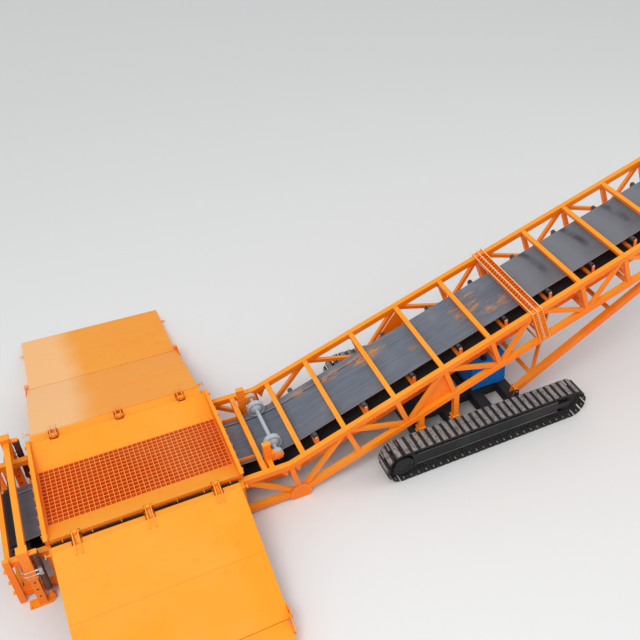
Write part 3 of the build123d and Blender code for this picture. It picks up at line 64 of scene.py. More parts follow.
# Frames of the machine: level under the hopper, inclined after the bend, and the floor below it
TILT = math.radians(19.4)
CHORD_HEIGHT = 0.915
HOPPER_START = -4.174
HOPPER_END = -0.954
BEND_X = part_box("hopper_plates")[0].x - HOPPER_START
FLOOR = Matrix.Translation((BEND_X, 0, 0))
LEVEL = Matrix.Translation((BEND_X, 0, CHORD_HEIGHT))
INCLINE = LEVEL @ Matrix.Rotation(-TILT, 4, "Y")
SIDES = (-1, 1)
WORDS = ((-1, "near"), (1, "far"))

# Truss and belt
TRUSS_HALF = 1.180
CHORD_HALF = 0.060
CHORD_OUT = TRUSS_HALF + CHORD_HALF
TRUSS_LOW = -0.775
FIRST_NODE = 1.230
BAY = 1.129
NODES = [FIRST_NODE + BAY * index for index in range(13)]
SPLICE_NODE = 4
SPLICE = NODES[SPLICE_NODE] - 0.025
BELT_DROP = 0.14946
BELT_FLAT = 0.270
TROUGH = math.radians(10)
ARC_X = -0.4873  # lowest place of the arc in which the belt bends upward
TAIL_PULLEY = -4.700
HEAD_PULLEY = 15.050


def spread(first, last, count):
    """Places at even steps from the first to the last."""
    return [first + (last - first) * index / (count - 1) for index in range(count)]


# Camera: place, turn and lens found by matching the truss, hopper and ramp edges
CAMERA_AHEAD = 2.26828
CAMERA_PLACE = Vector((CAD_LOW.x + CAMERA_AHEAD, -12.230, 12.757))
CAMERA_TURN = Vector((2.16870, -0.55162, 0.34766))
PICTURE = 640
FOCAL_PIXELS = 819.66
CENTRE_PIXEL = (492.3, 321.7)


def make_camera():
    """Camera from a turn vector whose matrix has the picture's right, down and ahead as rows."""
    turn = Matrix.Rotation(CAMERA_TURN.length, 3, CAMERA_TURN.normalized())
    lens = bpy.data.cameras.new("camera")
    lens.sensor_width = 36
    lens.lens = FOCAL_PIXELS * lens.sensor_width / PICTURE
    lens.shift_x = (PICTURE / 2 - CENTRE_PIXEL[0]) / PICTURE
    lens.shift_y = (CENTRE_PIXEL[1] - PICTURE / 2) / PICTURE
    lens.clip_start = 0.1
    lens.clip_end = 400
    camera = bpy.data.objects.new("camera", lens)
    right, down, ahead = turn
    pose = Matrix((right, -down, -ahead)).transposed().to_4x4()
    camera.matrix_world = Matrix.Translation(CAMERA_PLACE) @ pose
    bpy.context.scene.collection.objects.link(camera)
    bpy.context.scene.camera = camera


make_camera()


# Materials: a small builder, then one function for each kind of surface

class Finish:
    """A node material being built. Values may be numbers, colours or the sockets of earlier nodes."""

    def __init__(self, name, rough=0.5, metal=0.0, coat=0.0, shine=0.5):
        self.made = bpy.data.materials.new(name)
        self.made.use_nodes = True
        self.tree = self.made.node_tree
        self.surface = self.tree.nodes["Principled BSDF"]
        self.surface.inputs["Roughness"].default_value = rough
        self.surface.inputs["Metallic"].default_value = metal
        self.surface.inputs["Coat Weight"].default_value = coat
        self.surface.inputs["Coat Roughness"].default_value = 0.25
        self.surface.inputs["Specular IOR Level"].default_value = shine
        places = self.tree.nodes.new("ShaderNodeTexCoord")
        self.place = places.outputs["Object"]
        self.facing = places.outputs["Normal"]

    def node(self, kind, inputs, **settings):
        made = self.tree.nodes.new("ShaderNode" + kind)
        for key, value in settings.items():
            setattr(made, key, value)
        for key, value in inputs.items():
            self.feed(made.inputs[key], value)
        return made

    def feed(self, socket, value):
        if isinstance(value, bpy.types.NodeSocket):
            self.tree.links.new(value, socket)
        elif isinstance(value, tuple) and len(value) == 3 and socket.type == "RGBA":
            socket.default_value = (*value, 1)
        else:
            socket.default_value = value

    def noise(self, scale, detail=3.0, stretch=(1, 1, 1), place=None, rough=0.55):
        mapped = self.node("Mapping", {"Vector": place or self.place, "Scale": stretch})
        inputs = {"Vector": mapped.outputs[0], "Scale": scale, "Detail": detail, "Roughness": rough}
        return self.node("TexNoise", inputs).outputs["Fac"]

    def span(self, value, low, high, out_low=0.0, out_high=1.0):
        inputs = {"Value": value, "From Min": low, "From Max": high, "To Min": out_low, "To Max": out_high}
        return self.node("MapRange", inputs, interpolation_type="SMOOTHSTEP").outputs["Result"]

    def combine(self, operation, first, second=0.0):
        return self.node("Math", {0: first, 1: second}, operation=operation).outputs[0]

    def product(self, first, *others):
        for other in others:
            first = self.combine("MULTIPLY", first, other)
        return first

    def off(self, value, centre):
        """How far a value is from a centre."""
        return self.combine("ABSOLUTE", self.combine("SUBTRACT", value, centre))

    def mix(self, factor, first, second):
        made = self.node("Mix", {0: factor}, data_type="RGBA")
        self.feed(made.inputs[6], first)
        self.feed(made.inputs[7], second)
        return made.outputs[2]

    def axes(self, vector):
        return self.node("SeparateXYZ", {0: vector}).outputs

    def within(self, place_frame):
        """Object coordinates turned into one of the machine's frames."""
        inputs = {
            "Vector": self.place,
            "Location": tuple(place_frame.translation),
            "Rotation": tuple(place_frame.to_euler()),
        }
        return self.node("Mapping", inputs, vector_type="TEXTURE").outputs[0]

    def edges(self, radius):
        """Normal rounded at the edges, and a mask that is 1 on them."""
        rounded = self.node("Bevel", {"Radius": radius}, samples=4).outputs[0]
        plain = self.node("NewGeometry", {}).outputs["Normal"]
        match = self.node("VectorMath", {0: rounded, 1: plain}, operation="DOT_PRODUCT").outputs["Value"]
        return rounded, self.span(match, 0.80, 0.995, 1.0, 0.0)

    def spot(self, place, centre, reach):
        """1 at a place, falling to 0 at its reach along each axis."""
        shifted = self.node("VectorMath", {0: place, 1: centre}, operation="SUBTRACT").outputs[0]
        scaled = self.node("VectorMath", {0: shifted, 1: reach}, operation="DIVIDE").outputs[0]
        far = self.node("VectorMath", {0: scaled}, operation="LENGTH").outputs["Value"]
        return self.span(far, 0.0, 1.0, 1.0, 0.0)

    def bump(self, height, depth, normal=None):
        inputs = {"Height": height, "Distance": depth, "Strength": 0.6}
        if normal is not None:
            inputs["Normal"] = normal
        self.feed(self.surface.inputs["Normal"], self.node("Bump", inputs).outputs[0])

    def colour(self, value):
        self.feed(self.surface.inputs["Base Color"], value)
        return self.made

    def rough(self, value):
        self.feed(self.surface.inputs["Roughness"], value)


def painted(name, side, top, worn_and_highlight, dirt, gloss=0.40, soil=0.5, coat=0.06, sheen=None):
    """Painted steel: darker on the sides and paler on top as painted shade and light, pale at the edges from
    wear and painted highlight, dusty in patches, with a faint orange peel.

    A sheen is (x, y, strength, colour): a painted pale reflection laid before that x and past that y.
    """
    paint = Finish(name, coat=coat, shine=0.28)
    # Painted light and shade: upward faces take the lighter top colour, the others the darker side colour.
    up = paint.axes(paint.facing)[2]
    base = paint.mix(paint.span(up, 0.1, 0.9), side, top)
    broad = paint.noise(0.55, 3)
    base = paint.mix(paint.span(broad, 0.40, 0.68, 0.0, 0.30), base, worn_and_highlight)
    streaks = paint.noise(5.0, 4, (1, 1, 0.18))
    stained = paint.product(paint.span(streaks, 0.55, 0.74), soil * 0.45)
    base = paint.mix(stained, base, dirt)
    specks = paint.noise(46, 2)
    base = paint.mix(paint.span(specks, 0.69, 0.74, 0.0, soil), base, dirt)
    # Painted reflection: a pale sheen of the sky over part of the far ramp.
    if sheen:
        along, across, _ = paint.axes(paint.within(FLOOR))
        edge_x, edge_y, strength, colour = sheen
        shifted = paint.combine("ADD", along, paint.span(broad, 0.3, 0.7, -0.15, 0.15))
        pale = paint.span(shifted, edge_x - 0.30, edge_x + 0.35, strength, 0.0)
        pale = paint.product(pale, paint.span(across, edge_y, edge_y + 0.02))
        base = paint.mix(pale, base, colour)
    # Pale edges: chipped paint, and a painted highlight along each edge.
    normal, edge_mask = paint.edges(0.006)
    chips_and_highlight = paint.product(edge_mask, paint.span(paint.noise(9, 4), 0.36, 0.60, 0.25, 0.85))
    base = paint.mix(chips_and_highlight, base, worn_and_highlight)
    paint.rough(paint.span(broad, 0.3, 0.7, gloss - 0.06, gloss + 0.14))
    paint.bump(paint.noise(85, 2), 0.0012, normal)
    return paint.colour(base)


def worn_metal(name, base, bright, dirt, rough, scale=18, metal=0.8):
    """Bare or plated steel with fine scratches and grime."""
    steel = Finish(name, metal=metal)
    scratches = steel.noise(scale, 5, (1, 6, 1))
    shade = steel.mix(steel.span(scratches, 0.4, 0.65), base, bright)
    shade = steel.mix(steel.span(steel.noise(3.2, 4), 0.52, 0.72, 0.0, 0.7), shade, dirt)
    normal, edge_mask = steel.edges(0.004)
    steel.rough(steel.span(scratches, 0.3, 0.7, rough - 0.1, rough + 0.12))
    steel.bump(scratches, 0.0008, normal)
    return steel.colour(steel.mix(steel.product(edge_mask, 0.6), shade, bright))


# Marks on the belt: its crease, painted as shade and highlight, and powder stains as (place, reach,
# strength) along the incline
CREASE_Y = 0.500
CREASE_END = (2.4, 2.9)
BELT_STAINS = (
    ((0.75, 0.52, -0.10), (0.50, 0.16, 1.0), 0.55),
    ((1.55, 0.48, -0.12), (0.50, 0.16, 1.0), 0.75),
    ((2.35, 0.44, -0.12), (0.75, 0.24, 1.0), 0.95),
    ((4.75, 0.34, -0.13), (0.60, 0.36, 1.0), 0.70),
    ((4.70, 0.02, -0.14), (0.50, 0.30, 1.0), 0.75),
    ((5.30, -0.22, -0.14), (0.65, 0.34, 1.0), 0.80),
    ((3.30, -0.05, -0.14), (0.25, 0.14, 1.0), 0.35),
)


def belt_sheen_and_shadows(belt, base, along):
    """Painted sheen in the middle of each bay and painted shadows of the cross-members, curved by the
    trough, past the splice, one of each to a bay.
    """
    run, across, _ = belt.axes(along)
    bow = belt.product(across, across, 0.35)
    phase = belt.combine("FRACT", belt.combine("DIVIDE", belt.combine("ADD", run, bow), BAY))
    ahead = belt.span(run, SPLICE, SPLICE + 0.3)
    # Painted sheen between the cross-members.
    painted_sheen = belt.product(belt.span(belt.off(phase, 0.45), 0.05, 0.36, 0.6, 0.0), ahead)
    base = belt.mix(painted_sheen, base, (0.195, 0.206, 0.232))
    # Painted shadows of the cross-members, curved across the troughed belt.
    shadow_arcs = belt.span(belt.off(phase, 0.86), 0.01, 0.12, 0.85, 0.0)
    patches = belt.span(belt.noise(2.2, 2, place=along), 0.25, 0.60)
    shadow_arcs = belt.product(shadow_arcs, ahead, belt.span(across, -0.50, 0.15), patches)
    return belt.mix(shadow_arcs, base, (0.030, 0.034, 0.044))


def belt_crease(belt, base, along):
    """A crease along the far third: painted shade in the fold, with a painted highlight on the ridge beside
    it.
    """
    run, across, _ = belt.axes(along)
    fading = belt.span(run, *CREASE_END, 1.0, 0.0)
    # Painted highlight on the ridge beside the crease, and painted shade in the fold.
    ridge = belt.span(belt.off(across, CREASE_Y + 0.030), 0.004, 0.020, 0.6, 0.0)
    base = belt.mix(belt.product(ridge, fading), base, (0.34, 0.30, 0.28))
    crease = belt.span(belt.off(across, CREASE_Y), 0.007, 0.022, 0.95, 0.0)
    return belt.mix(belt.product(crease, fading), base, (0.020, 0.018, 0.018))


def belt_powder(belt, base, along):
    """Ragged orange powder round each of the stains."""
    powder = belt.span(belt.noise(9, 6, (0.5, 1.6, 1), along, 0.78), 0.40, 0.64)
    drifts = belt.span(belt.noise(2.6, 4, (0.6, 1.4, 1), along, 0.6), 0.38, 0.60)
    for centre, reach, strength in BELT_STAINS:
        patch = belt.product(belt.spot(along, centre, reach), powder, drifts)
        base = belt.mix(belt.span(patch, 0.02, 0.42, 0.0, strength), base, (0.56, 0.235, 0.070))
    return base


def belt_rubber():
    """Carrying belt: lengthwise streaks, painted shade towards the tail, painted sheen and shadows past the
    splice, a crease and powder.
    """
    belt = Finish("belt_rubber", rough=0.5)
    along = belt.within(INCLINE)
    run, across, _ = belt.axes(along)
    fine = belt.noise(30, 3, (0.05, 2.4, 0.3), along)
    wide = belt.noise(5, 3, (0.08, 1.2, 0.3), along)
    clouds = belt.noise(1.3, 3, (1, 1, 0.4), along)
    base = belt.mix(belt.span(fine, 0.30, 0.70), (0.098, 0.114, 0.144), (0.166, 0.190, 0.236))
    base = belt.mix(belt.span(wide, 0.45, 0.75, 0.0, 0.35), base, (0.075, 0.084, 0.102))
    base = belt.mix(belt.span(clouds, 0.45, 0.75, 0.0, 0.40), base, (0.230, 0.245, 0.270))
    base = belt.mix(belt.span(run, SPLICE - 0.3, SPLICE + 0.5, 0.0, 0.75), base, (0.145, 0.144, 0.158))
    # Painted shade: the belt darkens towards the tail.
    base = belt.mix(belt.span(run, -4.35, -3.95, 0.65, 0.0), base, (0.050, 0.054, 0.062))
    base = belt_sheen_and_shadows(belt, base, along)
    base = belt_crease(belt, base, along)
    base = belt_powder(belt, base, along)
    rim = belt.span(belt.combine("ABSOLUTE", across), 0.640, 0.662, 0.0, 0.55)
    base = belt.mix(rim, base, (0.30, 0.20, 0.15))
    belt.rough(belt.span(clouds, 0.3, 0.7, 0.36, 0.58))
    belt.bump(fine, 0.0015)
    return belt.colour(base)


def dark_rubber(name, base, dust, rough=0.7):
    """Dark rubber, dusty in patches; its near-black colours also paint shade."""
    rubber = Finish(name, rough=rough)
    clouds = rubber.noise(2.2, 4)
    shade = rubber.mix(rubber.span(clouds, 0.42, 0.75, 0.0, 0.6), base, dust)
    rubber.bump(rubber.noise(60, 3), 0.001)
    return rubber.colour(shade)


def track_pad():
    """Rubber-faced track pad: scuffed pale on its outer face; its flanks are near-black shoe steel, partly
    painted shade.
    """
    pad = Finish("track_pad", rough=0.62)
    scuffs = pad.noise(22, 5, (1, 0.5, 1), rough=0.7)
    broad = pad.noise(3.0, 3)
    shade = pad.mix(pad.span(scuffs, 0.36, 0.60), (0.118, 0.117, 0.118), (0.325, 0.326, 0.330))
    shade = pad.mix(pad.span(broad, 0.46, 0.74, 0.0, 0.45), shade, (0.150, 0.144, 0.142))
    normal, edge_mask = pad.edges(0.005)
    pad.bump(scuffs, 0.002, normal)
    return pad.colour(pad.mix(pad.product(edge_mask, 0.5), shade, (0.42, 0.41, 0.40)))


# Orange paint: painted shade on the sides, painted light on the tops, then the colour of wear and edge
# highlight, and of dirt
ORANGE_SHADED_SIDE = (0.970, 0.200, 0.004)
ORANGE_LIT_TOP = (0.980, 0.335, 0.010)
ORANGE_WORN_AND_HIGHLIGHT = (1.000, 0.440, 0.070)
ORANGE_DIRT = (0.420, 0.095, 0.020)
# Painted reflection: colour of the pale sheen, and where it lies on the far ramp as (x, y, strength,
# colour).
SHEEN_COLOUR = (1.000, 0.600, 0.280)
RAMP_SHEEN = (-3.15, 1.500, 0.72, SHEEN_COLOUR)

# One finish for each material slot; in each painted one, the first two colours are painted shade on the
# sides and painted light on the tops
FINISHES = {
    "orange_steel": painted(
        "orange_steel", ORANGE_SHADED_SIDE, ORANGE_LIT_TOP, ORANGE_WORN_AND_HIGHLIGHT, ORANGE_DIRT, soil=0.25, sheen=RAMP_SHEEN),
    "black_steel": painted(
        "black_steel", (0.010, 0.010, 0.011), (0.020, 0.020, 0.021), (0.075, 0.072, 0.070),
        (0.090, 0.075, 0.060), soil=0.4, gloss=0.46, coat=0.0),
    "blue_steel": painted(
        "blue_steel", (0.004, 0.190, 0.680), (0.010, 0.260, 0.800), (0.080, 0.360, 0.820),
        (0.030, 0.060, 0.120), soil=0.3, gloss=0.28),
    "grey_steel": painted(
        "grey_steel", (0.270, 0.325, 0.375), (0.400, 0.460, 0.515), (0.600, 0.620, 0.640),
        (0.170, 0.160, 0.150), soil=0.5, gloss=0.38),
    "maroon_steel": painted(
        "maroon_steel", (0.075, 0.022, 0.015), (0.130, 0.042, 0.028), (0.260, 0.140, 0.110),
        (0.150, 0.090, 0.070), soil=0.5, gloss=0.30),
    "roller_steel": painted(
        "roller_steel", (0.013, 0.013, 0.015), (0.022, 0.022, 0.025), (0.200, 0.200, 0.205),
        (0.090, 0.070, 0.055), soil=0.3, gloss=0.20, coat=0.5),
    "bare_steel": worn_metal(
        "bare_steel", (0.420, 0.420, 0.415), (0.740, 0.735, 0.720), (0.250, 0.215, 0.180), 0.38),
    # Shoe steel is near-black: black steel, and painted shade for the deep gaps between the pads.
    "shoe_steel": worn_metal(
        "shoe_steel", (0.012, 0.011, 0.011), (0.055, 0.050, 0.046), (0.050, 0.035, 0.027), 0.65, metal=0.1),
    "belt_rubber": belt_rubber(),
}

# Finishes of single nodes and of the added pieces; in the painted ones too, the side and top colours are
# painted shade and light
# Painted shade: a darker, redder copy of the orange for the nodes in the truss's shade.
SHADED_ORANGE = painted(
    "shaded_orange", (0.970, 0.150, 0.004), (0.970, 0.225, 0.006), ORANGE_WORN_AND_HIGHLIGHT, ORANGE_DIRT, soil=0.2)
GRATE_PAINT = painted(
    "grate_paint", (0.95, 0.13, 0.004), (0.98, 0.30, 0.045), (1.0, 0.42, 0.13),
    (0.45, 0.08, 0.02), soil=0.15)
LIP_PAINT = painted(
    "lip_paint", (1.0, 0.36, 0.07), (1.0, 0.60, 0.30), (1.0, 0.72, 0.45), ORANGE_DIRT, soil=0.3)
BOLT_PAINTED = painted(
    "bolt_paint", (0.90, 0.24, 0.03), (1.0, 0.45, 0.12), (0.8, 0.6, 0.45), ORANGE_DIRT)
EDGE_BLACK = painted(
    "edge_black", (0.045, 0.045, 0.046), (0.15, 0.148, 0.145), (0.26, 0.25, 0.24),
    (0.14, 0.11, 0.09), gloss=0.5)
BOLT_ZINC = worn_metal(
    "bolt_zinc", (0.62, 0.59, 0.54), (0.86, 0.83, 0.78), (0.50, 0.34, 0.22), 0.36, 60, 0.5)
RUSTY_BOLT = worn_metal(
    "rusty_bolt", (0.25, 0.225, 0.20), (0.40, 0.37, 0.34), (0.16, 0.10, 0.06), 0.6, 40, 0.2)
# Painted shade: the return belt, in the carrying belt's shadow, made near-black.
SHADED_RETURN_BELT = dark_rubber("return_belt", (0.013, 0.012, 0.012), (0.034, 0.029, 0.026))
# Black plastic, used as well as painted shade: the strips in the hopper's slots, the floors of the pin holes
# and the slots on the pack's roof.
BLACK_PLASTIC_AND_SHADE = dark_rubber("black_plastic_and_shade", (0.008, 0.008, 0.009), (0.030, 0.030, 0.030), 0.45)
TRACK_PAD = track_pad()

# Nodes in the shade of the truss, which take the darker, redder orange as painted shade
SHADED_NODES = ("idler_frames", "idler_stringers", "struts", "return_hangers", "bottom_cross_members")


def dress_nodes():
    """Each node gets the finish of its slot, apart from the return belt and the shaded nodes, which get
    darker finishes as painted shade.
    """
    for part in frame["record"]["subparts"]:
        node = frame["nodes"][part["node"]]
        node.data.materials.clear()
        node.data.materials.append(FINISHES[part["material_slot"]])
    frame["nodes"]["return_belt"].data.materials[0] = SHADED_RETURN_BELT
    for name in SHADED_NODES:
        frame["nodes"][name].data.materials[0] = SHADED_ORANGE


dress_nodes()


# Pieces: meshes gathered from blocks, plates and turned shapes, each placed in one of the frames

class Piece:
    """One mesh in the making. It ends as an object that rides on a body."""

    def __init__(self, name):
        self.name = name
        self.points = []
        self.faces = []
        self.finish_of = []

    def add(self, place_frame, points, faces, finish=0):
        first = len(self.points)
        self.points += [place_frame @ Vector(point) for point in points]
        self.faces += [[first + corner for corner in face] for face in faces]
        self.finish_of += [finish] * len(faces)

    def block(self, place_frame, low, high, finish=0):
        """A box between two opposite corners."""
        x_ends, y_ends, z_ends = zip(low, high)
        corners = [(x, y, z) for x in x_ends for y in y_ends for z in z_ends]
        faces = [(0, 1, 3, 2), (4, 6, 7, 5), (0, 4, 5, 1), (2, 3, 7, 6), (0, 2, 6, 4), (1, 5, 7, 3)]
        self.add(place_frame, corners, faces, finish)

    def prism(self, place_frame, outline, low, high, axis=1, finish=0):
        """A closed outline square to an axis (1: x and z points, 0: y and z points), given a thickness."""
        count = len(outline)
        points = []
        for level in (low, high):
            for first, second in outline:
                points.append((first, level, second) if axis == 1 else (level, first, second))
        faces = [list(range(count)), list(range(count, 2 * count))]
        for index in range(count):
            ahead = (index + 1) % count
            faces.append([index, ahead, count + ahead, count + index])
        self.add(place_frame, points, faces, finish)

    def turned(self, place_frame, start, end, outline, segments=20, finish=0):
        """An outline of (distance from start, radius) pairs turned round the line from start to end."""
        begin = Vector(start)
        line = (Vector(end) - begin).normalized()
        first = line.orthogonal().normalized()
        second = line.cross(first)
        points = []
        rings = []
        for along, radius in outline:
            count = segments if radius > 0 else 1
            rings.append(range(len(points), len(points) + count))
            for index in range(count):
                angle = 2 * math.pi * index / segments
                reach = first * math.cos(angle) + second * math.sin(angle)
                points.append(begin + line * along + reach * radius)
        faces = []
        for ring, after in zip(rings[:-1], rings[1:]):
            for index in range(segments):
                ahead = (index + 1) % segments
                corners = [ring[index % len(ring)], ring[ahead % len(ring)]]
                corners += [after[ahead % len(after)], after[index % len(after)]]
                faces.append(list(dict.fromkeys(corners)))
        self.add(place_frame, points, faces, finish)

    def bar(self, place_frame, start, end, radius, segments=14, finish=0):
        """A round bar with small chamfers at its ends."""
        length = (Vector(end) - Vector(start)).length
        cut = min(radius * 0.2, length * 0.2)
        outline = [(0, 0), (0, radius - cut), (cut, radius)]
        outline += [(length - along, reach) for along, reach in reversed(outline)]
        self.turned(place_frame, start, end, outline, segments, finish)

    def ring(self, place_frame, start, end, outer, inner, segments=28, finish=0):
        """A flat ring or sleeve, chamfered outside."""
        length = (Vector(end) - Vector(start)).length
        cut = min((outer - inner) * 0.2, length * 0.25)
        outline = [(0, inner), (0, outer - cut), (cut, outer), (length - cut, outer), (length, outer - cut)]
        self.turned(place_frame, start, end, outline + [(length, inner), (0, inner)], segments, finish)

    def bolt(self, place_frame, place, axis, size=0.016, finish=0):
        """Hexagon head on a washer, standing on a place along an axis."""
        foot = Vector(place)
        tip = foot + Vector(axis)
        washer = [(0, 0), (0, size * 1.35), (size * 0.25, size * 1.35), (size * 0.25, 0)]
        self.turned(place_frame, foot, tip, washer, 10, finish)
        head = [(size * 0.25, 0), (size * 0.25, size), (size * 0.85, size), (size, size * 0.85), (size, 0)]
        self.turned(place_frame, foot, tip, head, 6, finish)

    def bolt_circle(self, place_frame, centre, side, radius, count, size, finish=0, first=0.0):
        """Bolts on an upright circle that faces one side of the machine."""
        for index in range(count):
            angle = first + 2 * math.pi * index / count
            along, height = centre[0] + radius * math.cos(angle), centre[2] + radius * math.sin(angle)
            self.bolt(place_frame, (along, centre[1], height), (0, side, 0), size, finish)

    def band(self, place_frame, centre, half, thick, low, high):
        """Four slabs round an upright post, with half its outer sizes, between two heights."""
        x, y = centre
        inner_x = half[0] - thick
        for toward in SIDES:
            outer, inner = y + toward * half[1], y + toward * (half[1] - thick)
            self.block(place_frame, (x - inner_x, inner, low), (x + inner_x, outer, high))
            corner = (x + toward * inner_x, y - half[1], low)
            self.block(place_frame, corner, (x + toward * half[0], y + half[1], high))

    def pipe(self, place_frame, route, radius, finish=0):
        """Round pipe through a few points, with short slanted corners."""
        segments = 8
        places = [Vector(point) for point in route]
        path = [places[0]]
        for before, here, after in zip(places, places[1:], places[2:]):
            cut = min((here - before).length, (after - here).length) * 0.3
            path.append(here + (before - here).normalized() * cut)
            path.append(here + (after - here).normalized() * cut)
        path.append(places[-1])
        points = []
        aside = Vector((0.31, 0.87, 0.38))
        for index, here in enumerate(path):
            behind = path[max(index - 1, 0)]
            ahead = path[min(index + 1, len(path) - 1)]
            line = (ahead - behind).normalized()
            first = line.cross(aside).normalized()
            second = line.cross(first)
            for step in range(segments):
                angle = 2 * math.pi * step / segments
                points.append(here + (first * math.cos(angle) + second * math.sin(angle)) * radius)
        faces = [list(range(segments)), list(range(len(points) - segments, len(points)))]
        for index in range(len(path) - 1):
            for step in range(segments):
                corner = index * segments + step
                ahead = index * segments + (step + 1) % segments
                faces.append([corner, ahead, ahead + segments, corner + segments])
        self.add(place_frame, points, faces, finish)

    def done(self, body, slot, finishes=None, soft=0.0, replaces=()):
        """Makes the object, with soft edges of a width where one is given."""
        mesh = bpy.data.meshes.new(self.name)
        mesh.from_pydata([tuple(point) for point in self.points], [], self.faces)
        for finish in finishes or (FINISHES[slot],):
            mesh.materials.append(finish)
        mesh.polygons.foreach_set("material_index", self.finish_of)
        shape = bmesh.new()
        shape.from_mesh(mesh)
        bmesh.ops.recalc_face_normals(shape, faces=shape.faces)
        for face in shape.faces:
            face.smooth = True
        shape.to_mesh(mesh)
        shape.free()
        mesh.set_sharp_from_angle(angle=math.radians(38))
        made = bpy.data.objects.new(self.name, mesh)
        bpy.context.scene.collection.objects.link(made)
        if soft:
            edge = made.modifiers.new("edges", "BEVEL")
            edge.width = soft
            edge.segments = 2
            edge.limit_method = "ANGLE"
            edge.angle_limit = math.radians(40)
            made.modifiers.new("shading", "WEIGHTED_NORMAL").keep_sharp = True
        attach(made, body)
        if replaces:
            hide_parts(*replaces)


# Grate: deep flat bars both ways, in a frame that the hopper plates meet

GRATE_HALF = 0.692
GRATE_TOP = 0.962
GRATE_DEEP = 0.050
GRATE_COLUMNS = 37
GRATE_ROWS = 15
GRATE_BAR = 0.013
GRATE_GAP = 0.001
LONG_BAR_DEEP = 0.098
LONG_BAR_DROP = 0.002
SKIRT_Y = 0.596
SKIRT_ROOM = 0.030


def make_grate():
    """Bars across the belt, and long bars that are shallow where they pass over a skirt board."""
    grate = Piece("grate_bars")
    half = GRATE_BAR / 2
    edge = GRATE_HALF - GRATE_GAP
    for along in spread(HOPPER_START + half, HOPPER_END - half, GRATE_COLUMNS + 1):
        low = (along - half, -edge, GRATE_TOP - GRATE_DEEP)
        grate.block(FLOOR, low, (along + half, edge, GRATE_TOP))
    for across in spread(half - edge, edge - half, GRATE_ROWS + 1):
        over_skirt = abs(abs(across) - SKIRT_Y) < SKIRT_ROOM
        deep = GRATE_DEEP if over_skirt else LONG_BAR_DEEP
        low = (HOPPER_START, across - half, GRATE_TOP - deep)
        grate.block(FLOOR, low, (HOPPER_END, across + half, GRATE_TOP - LONG_BAR_DROP))
    grate.done("machine", "orange_steel", (GRATE_PAINT,), soft=0.0015, replaces=("grate",))


make_grate()


# Idlers: rollers with capped ends, and the bolts of their frames and rails

ROLLER = 0.054
ROLLER_GAP = 0.0005
BELT_THICK = 0.015
ROLLER_CENTRE = ROLLER + ROLLER_GAP + BELT_THICK
ROLLER_FACETS = 24
MIDDLE_ROLLER = BELT_FLAT - 0.025
WING_REACH = (0.015, 0.520)
IDLERS = [(LEVEL, along) for along in spread(-3.800, ARC_X - 0.800, 5)]
IDLERS += [(INCLINE, node - BAY / 2) for node in NODES]
BRACKET_OUT = 0.030
BASE_TOP = -0.380
BASE_BOLTS = (-0.085, -0.045)
BASE_BOLT_Y = 0.849
RAIL_FACE = 0.874
RAIL_BOLT_Z = -0.475
RAIL_BOLT_PITCH = 0.250
RAIL_BOLTS = ((INCLINE, 0.350, 58), (LEVEL, -3.750, 14))


def roller_outline(length):
    """Shell with rounded shoulders, a dished cap and a shaft end that reaches the bracket."""
    near_end = [(-0.010, 0), (-0.010, 0.012), (0.010, 0.014), (0.010, 0.038), (0.002, 0.046), (0.004, 0.051)]
    far_end = [(length - along, radius) for along, radius in reversed(near_end)]
    return near_end + [(0.012, ROLLER), (length - 0.012, ROLLER)] + far_end


def wing_place(along, side, reach):
    """Place on a wing roller's axis, at a distance up the side of the trough."""
    across = BELT_FLAT + reach * math.cos(TROUGH) + ROLLER_CENTRE * math.sin(TROUGH)
    height = -BELT_DROP + reach * math.sin(TROUGH) - ROLLER_CENTRE * math.cos(TROUGH)
    return along, side * across, height


def make_rollers():
    rollers = Piece("trough_rollers")
    height = -BELT_DROP - ROLLER_CENTRE
    middle = roller_outline(2 * MIDDLE_ROLLER)
    wing = roller_outline(WING_REACH[1] - WING_REACH[0])
    for place_frame, along in IDLERS:
        start, end = (along, -MIDDLE_ROLLER, height), (along, MIDDLE_ROLLER, height)
        rollers.turned(place_frame, start, end, middle, ROLLER_FACETS)
        for side in SIDES:
            start, end = (wing_place(along, side, reach) for reach in WING_REACH)
            rollers.turned(place_frame, start, end, wing, ROLLER_FACETS)
    rollers.done("machine", "roller_steel", replaces=("idler_rollers",))


def make_idler_bolts():
    """Bolts on the idlers' feet and wing ends, and in rows along the rails."""
    bolts = Piece("idler_bolts")
    wing_end = BELT_FLAT + WING_REACH[1] * math.cos(TROUGH) + BRACKET_OUT
    wing_height = -BELT_DROP + WING_REACH[1] * math.sin(TROUGH) - ROLLER_CENTRE
    for place_frame, along in IDLERS:
        for side in SIDES:
            for back in BASE_BOLTS:
                bolts.bolt(place_frame, (along + back, side * BASE_BOLT_Y, BASE_TOP), (0, 0, 1), 0.012)
            bolts.bolt(place_frame, (along, side * wing_end, wing_height), (0, side, 0), 0.016)
    for place_frame, first, count in RAIL_BOLTS:
        for index in range(count):
            along = first + RAIL_BOLT_PITCH * index
            for side in SIDES:
                bolts.bolt(place_frame, (along, side * RAIL_FACE, RAIL_BOLT_Z), (0, side, 0), 0.011)
    bolts.done("machine", "bare_steel", (BOLT_ZINC,))


make_rollers()
make_idler_bolts()


# Splice: bolts through the end plates between the ribs, and pale worn lips on the flanges

RIB_PITCH = 0.100
RIB_COUNT = 23
SIDE_RIBS = 12
LADDER_TOP = 0.100
LADDER_LOW = TRUSS_LOW + 0.010
LADDER_OUT = CHORD_OUT + 0.045
END_PLATE = 0.0122
BOLT_INSET = 0.030
SPLICE_BOLT_Y = CHORD_OUT + 0.026
LIP_HALF = 0.010
LIP_STEP = 0.119


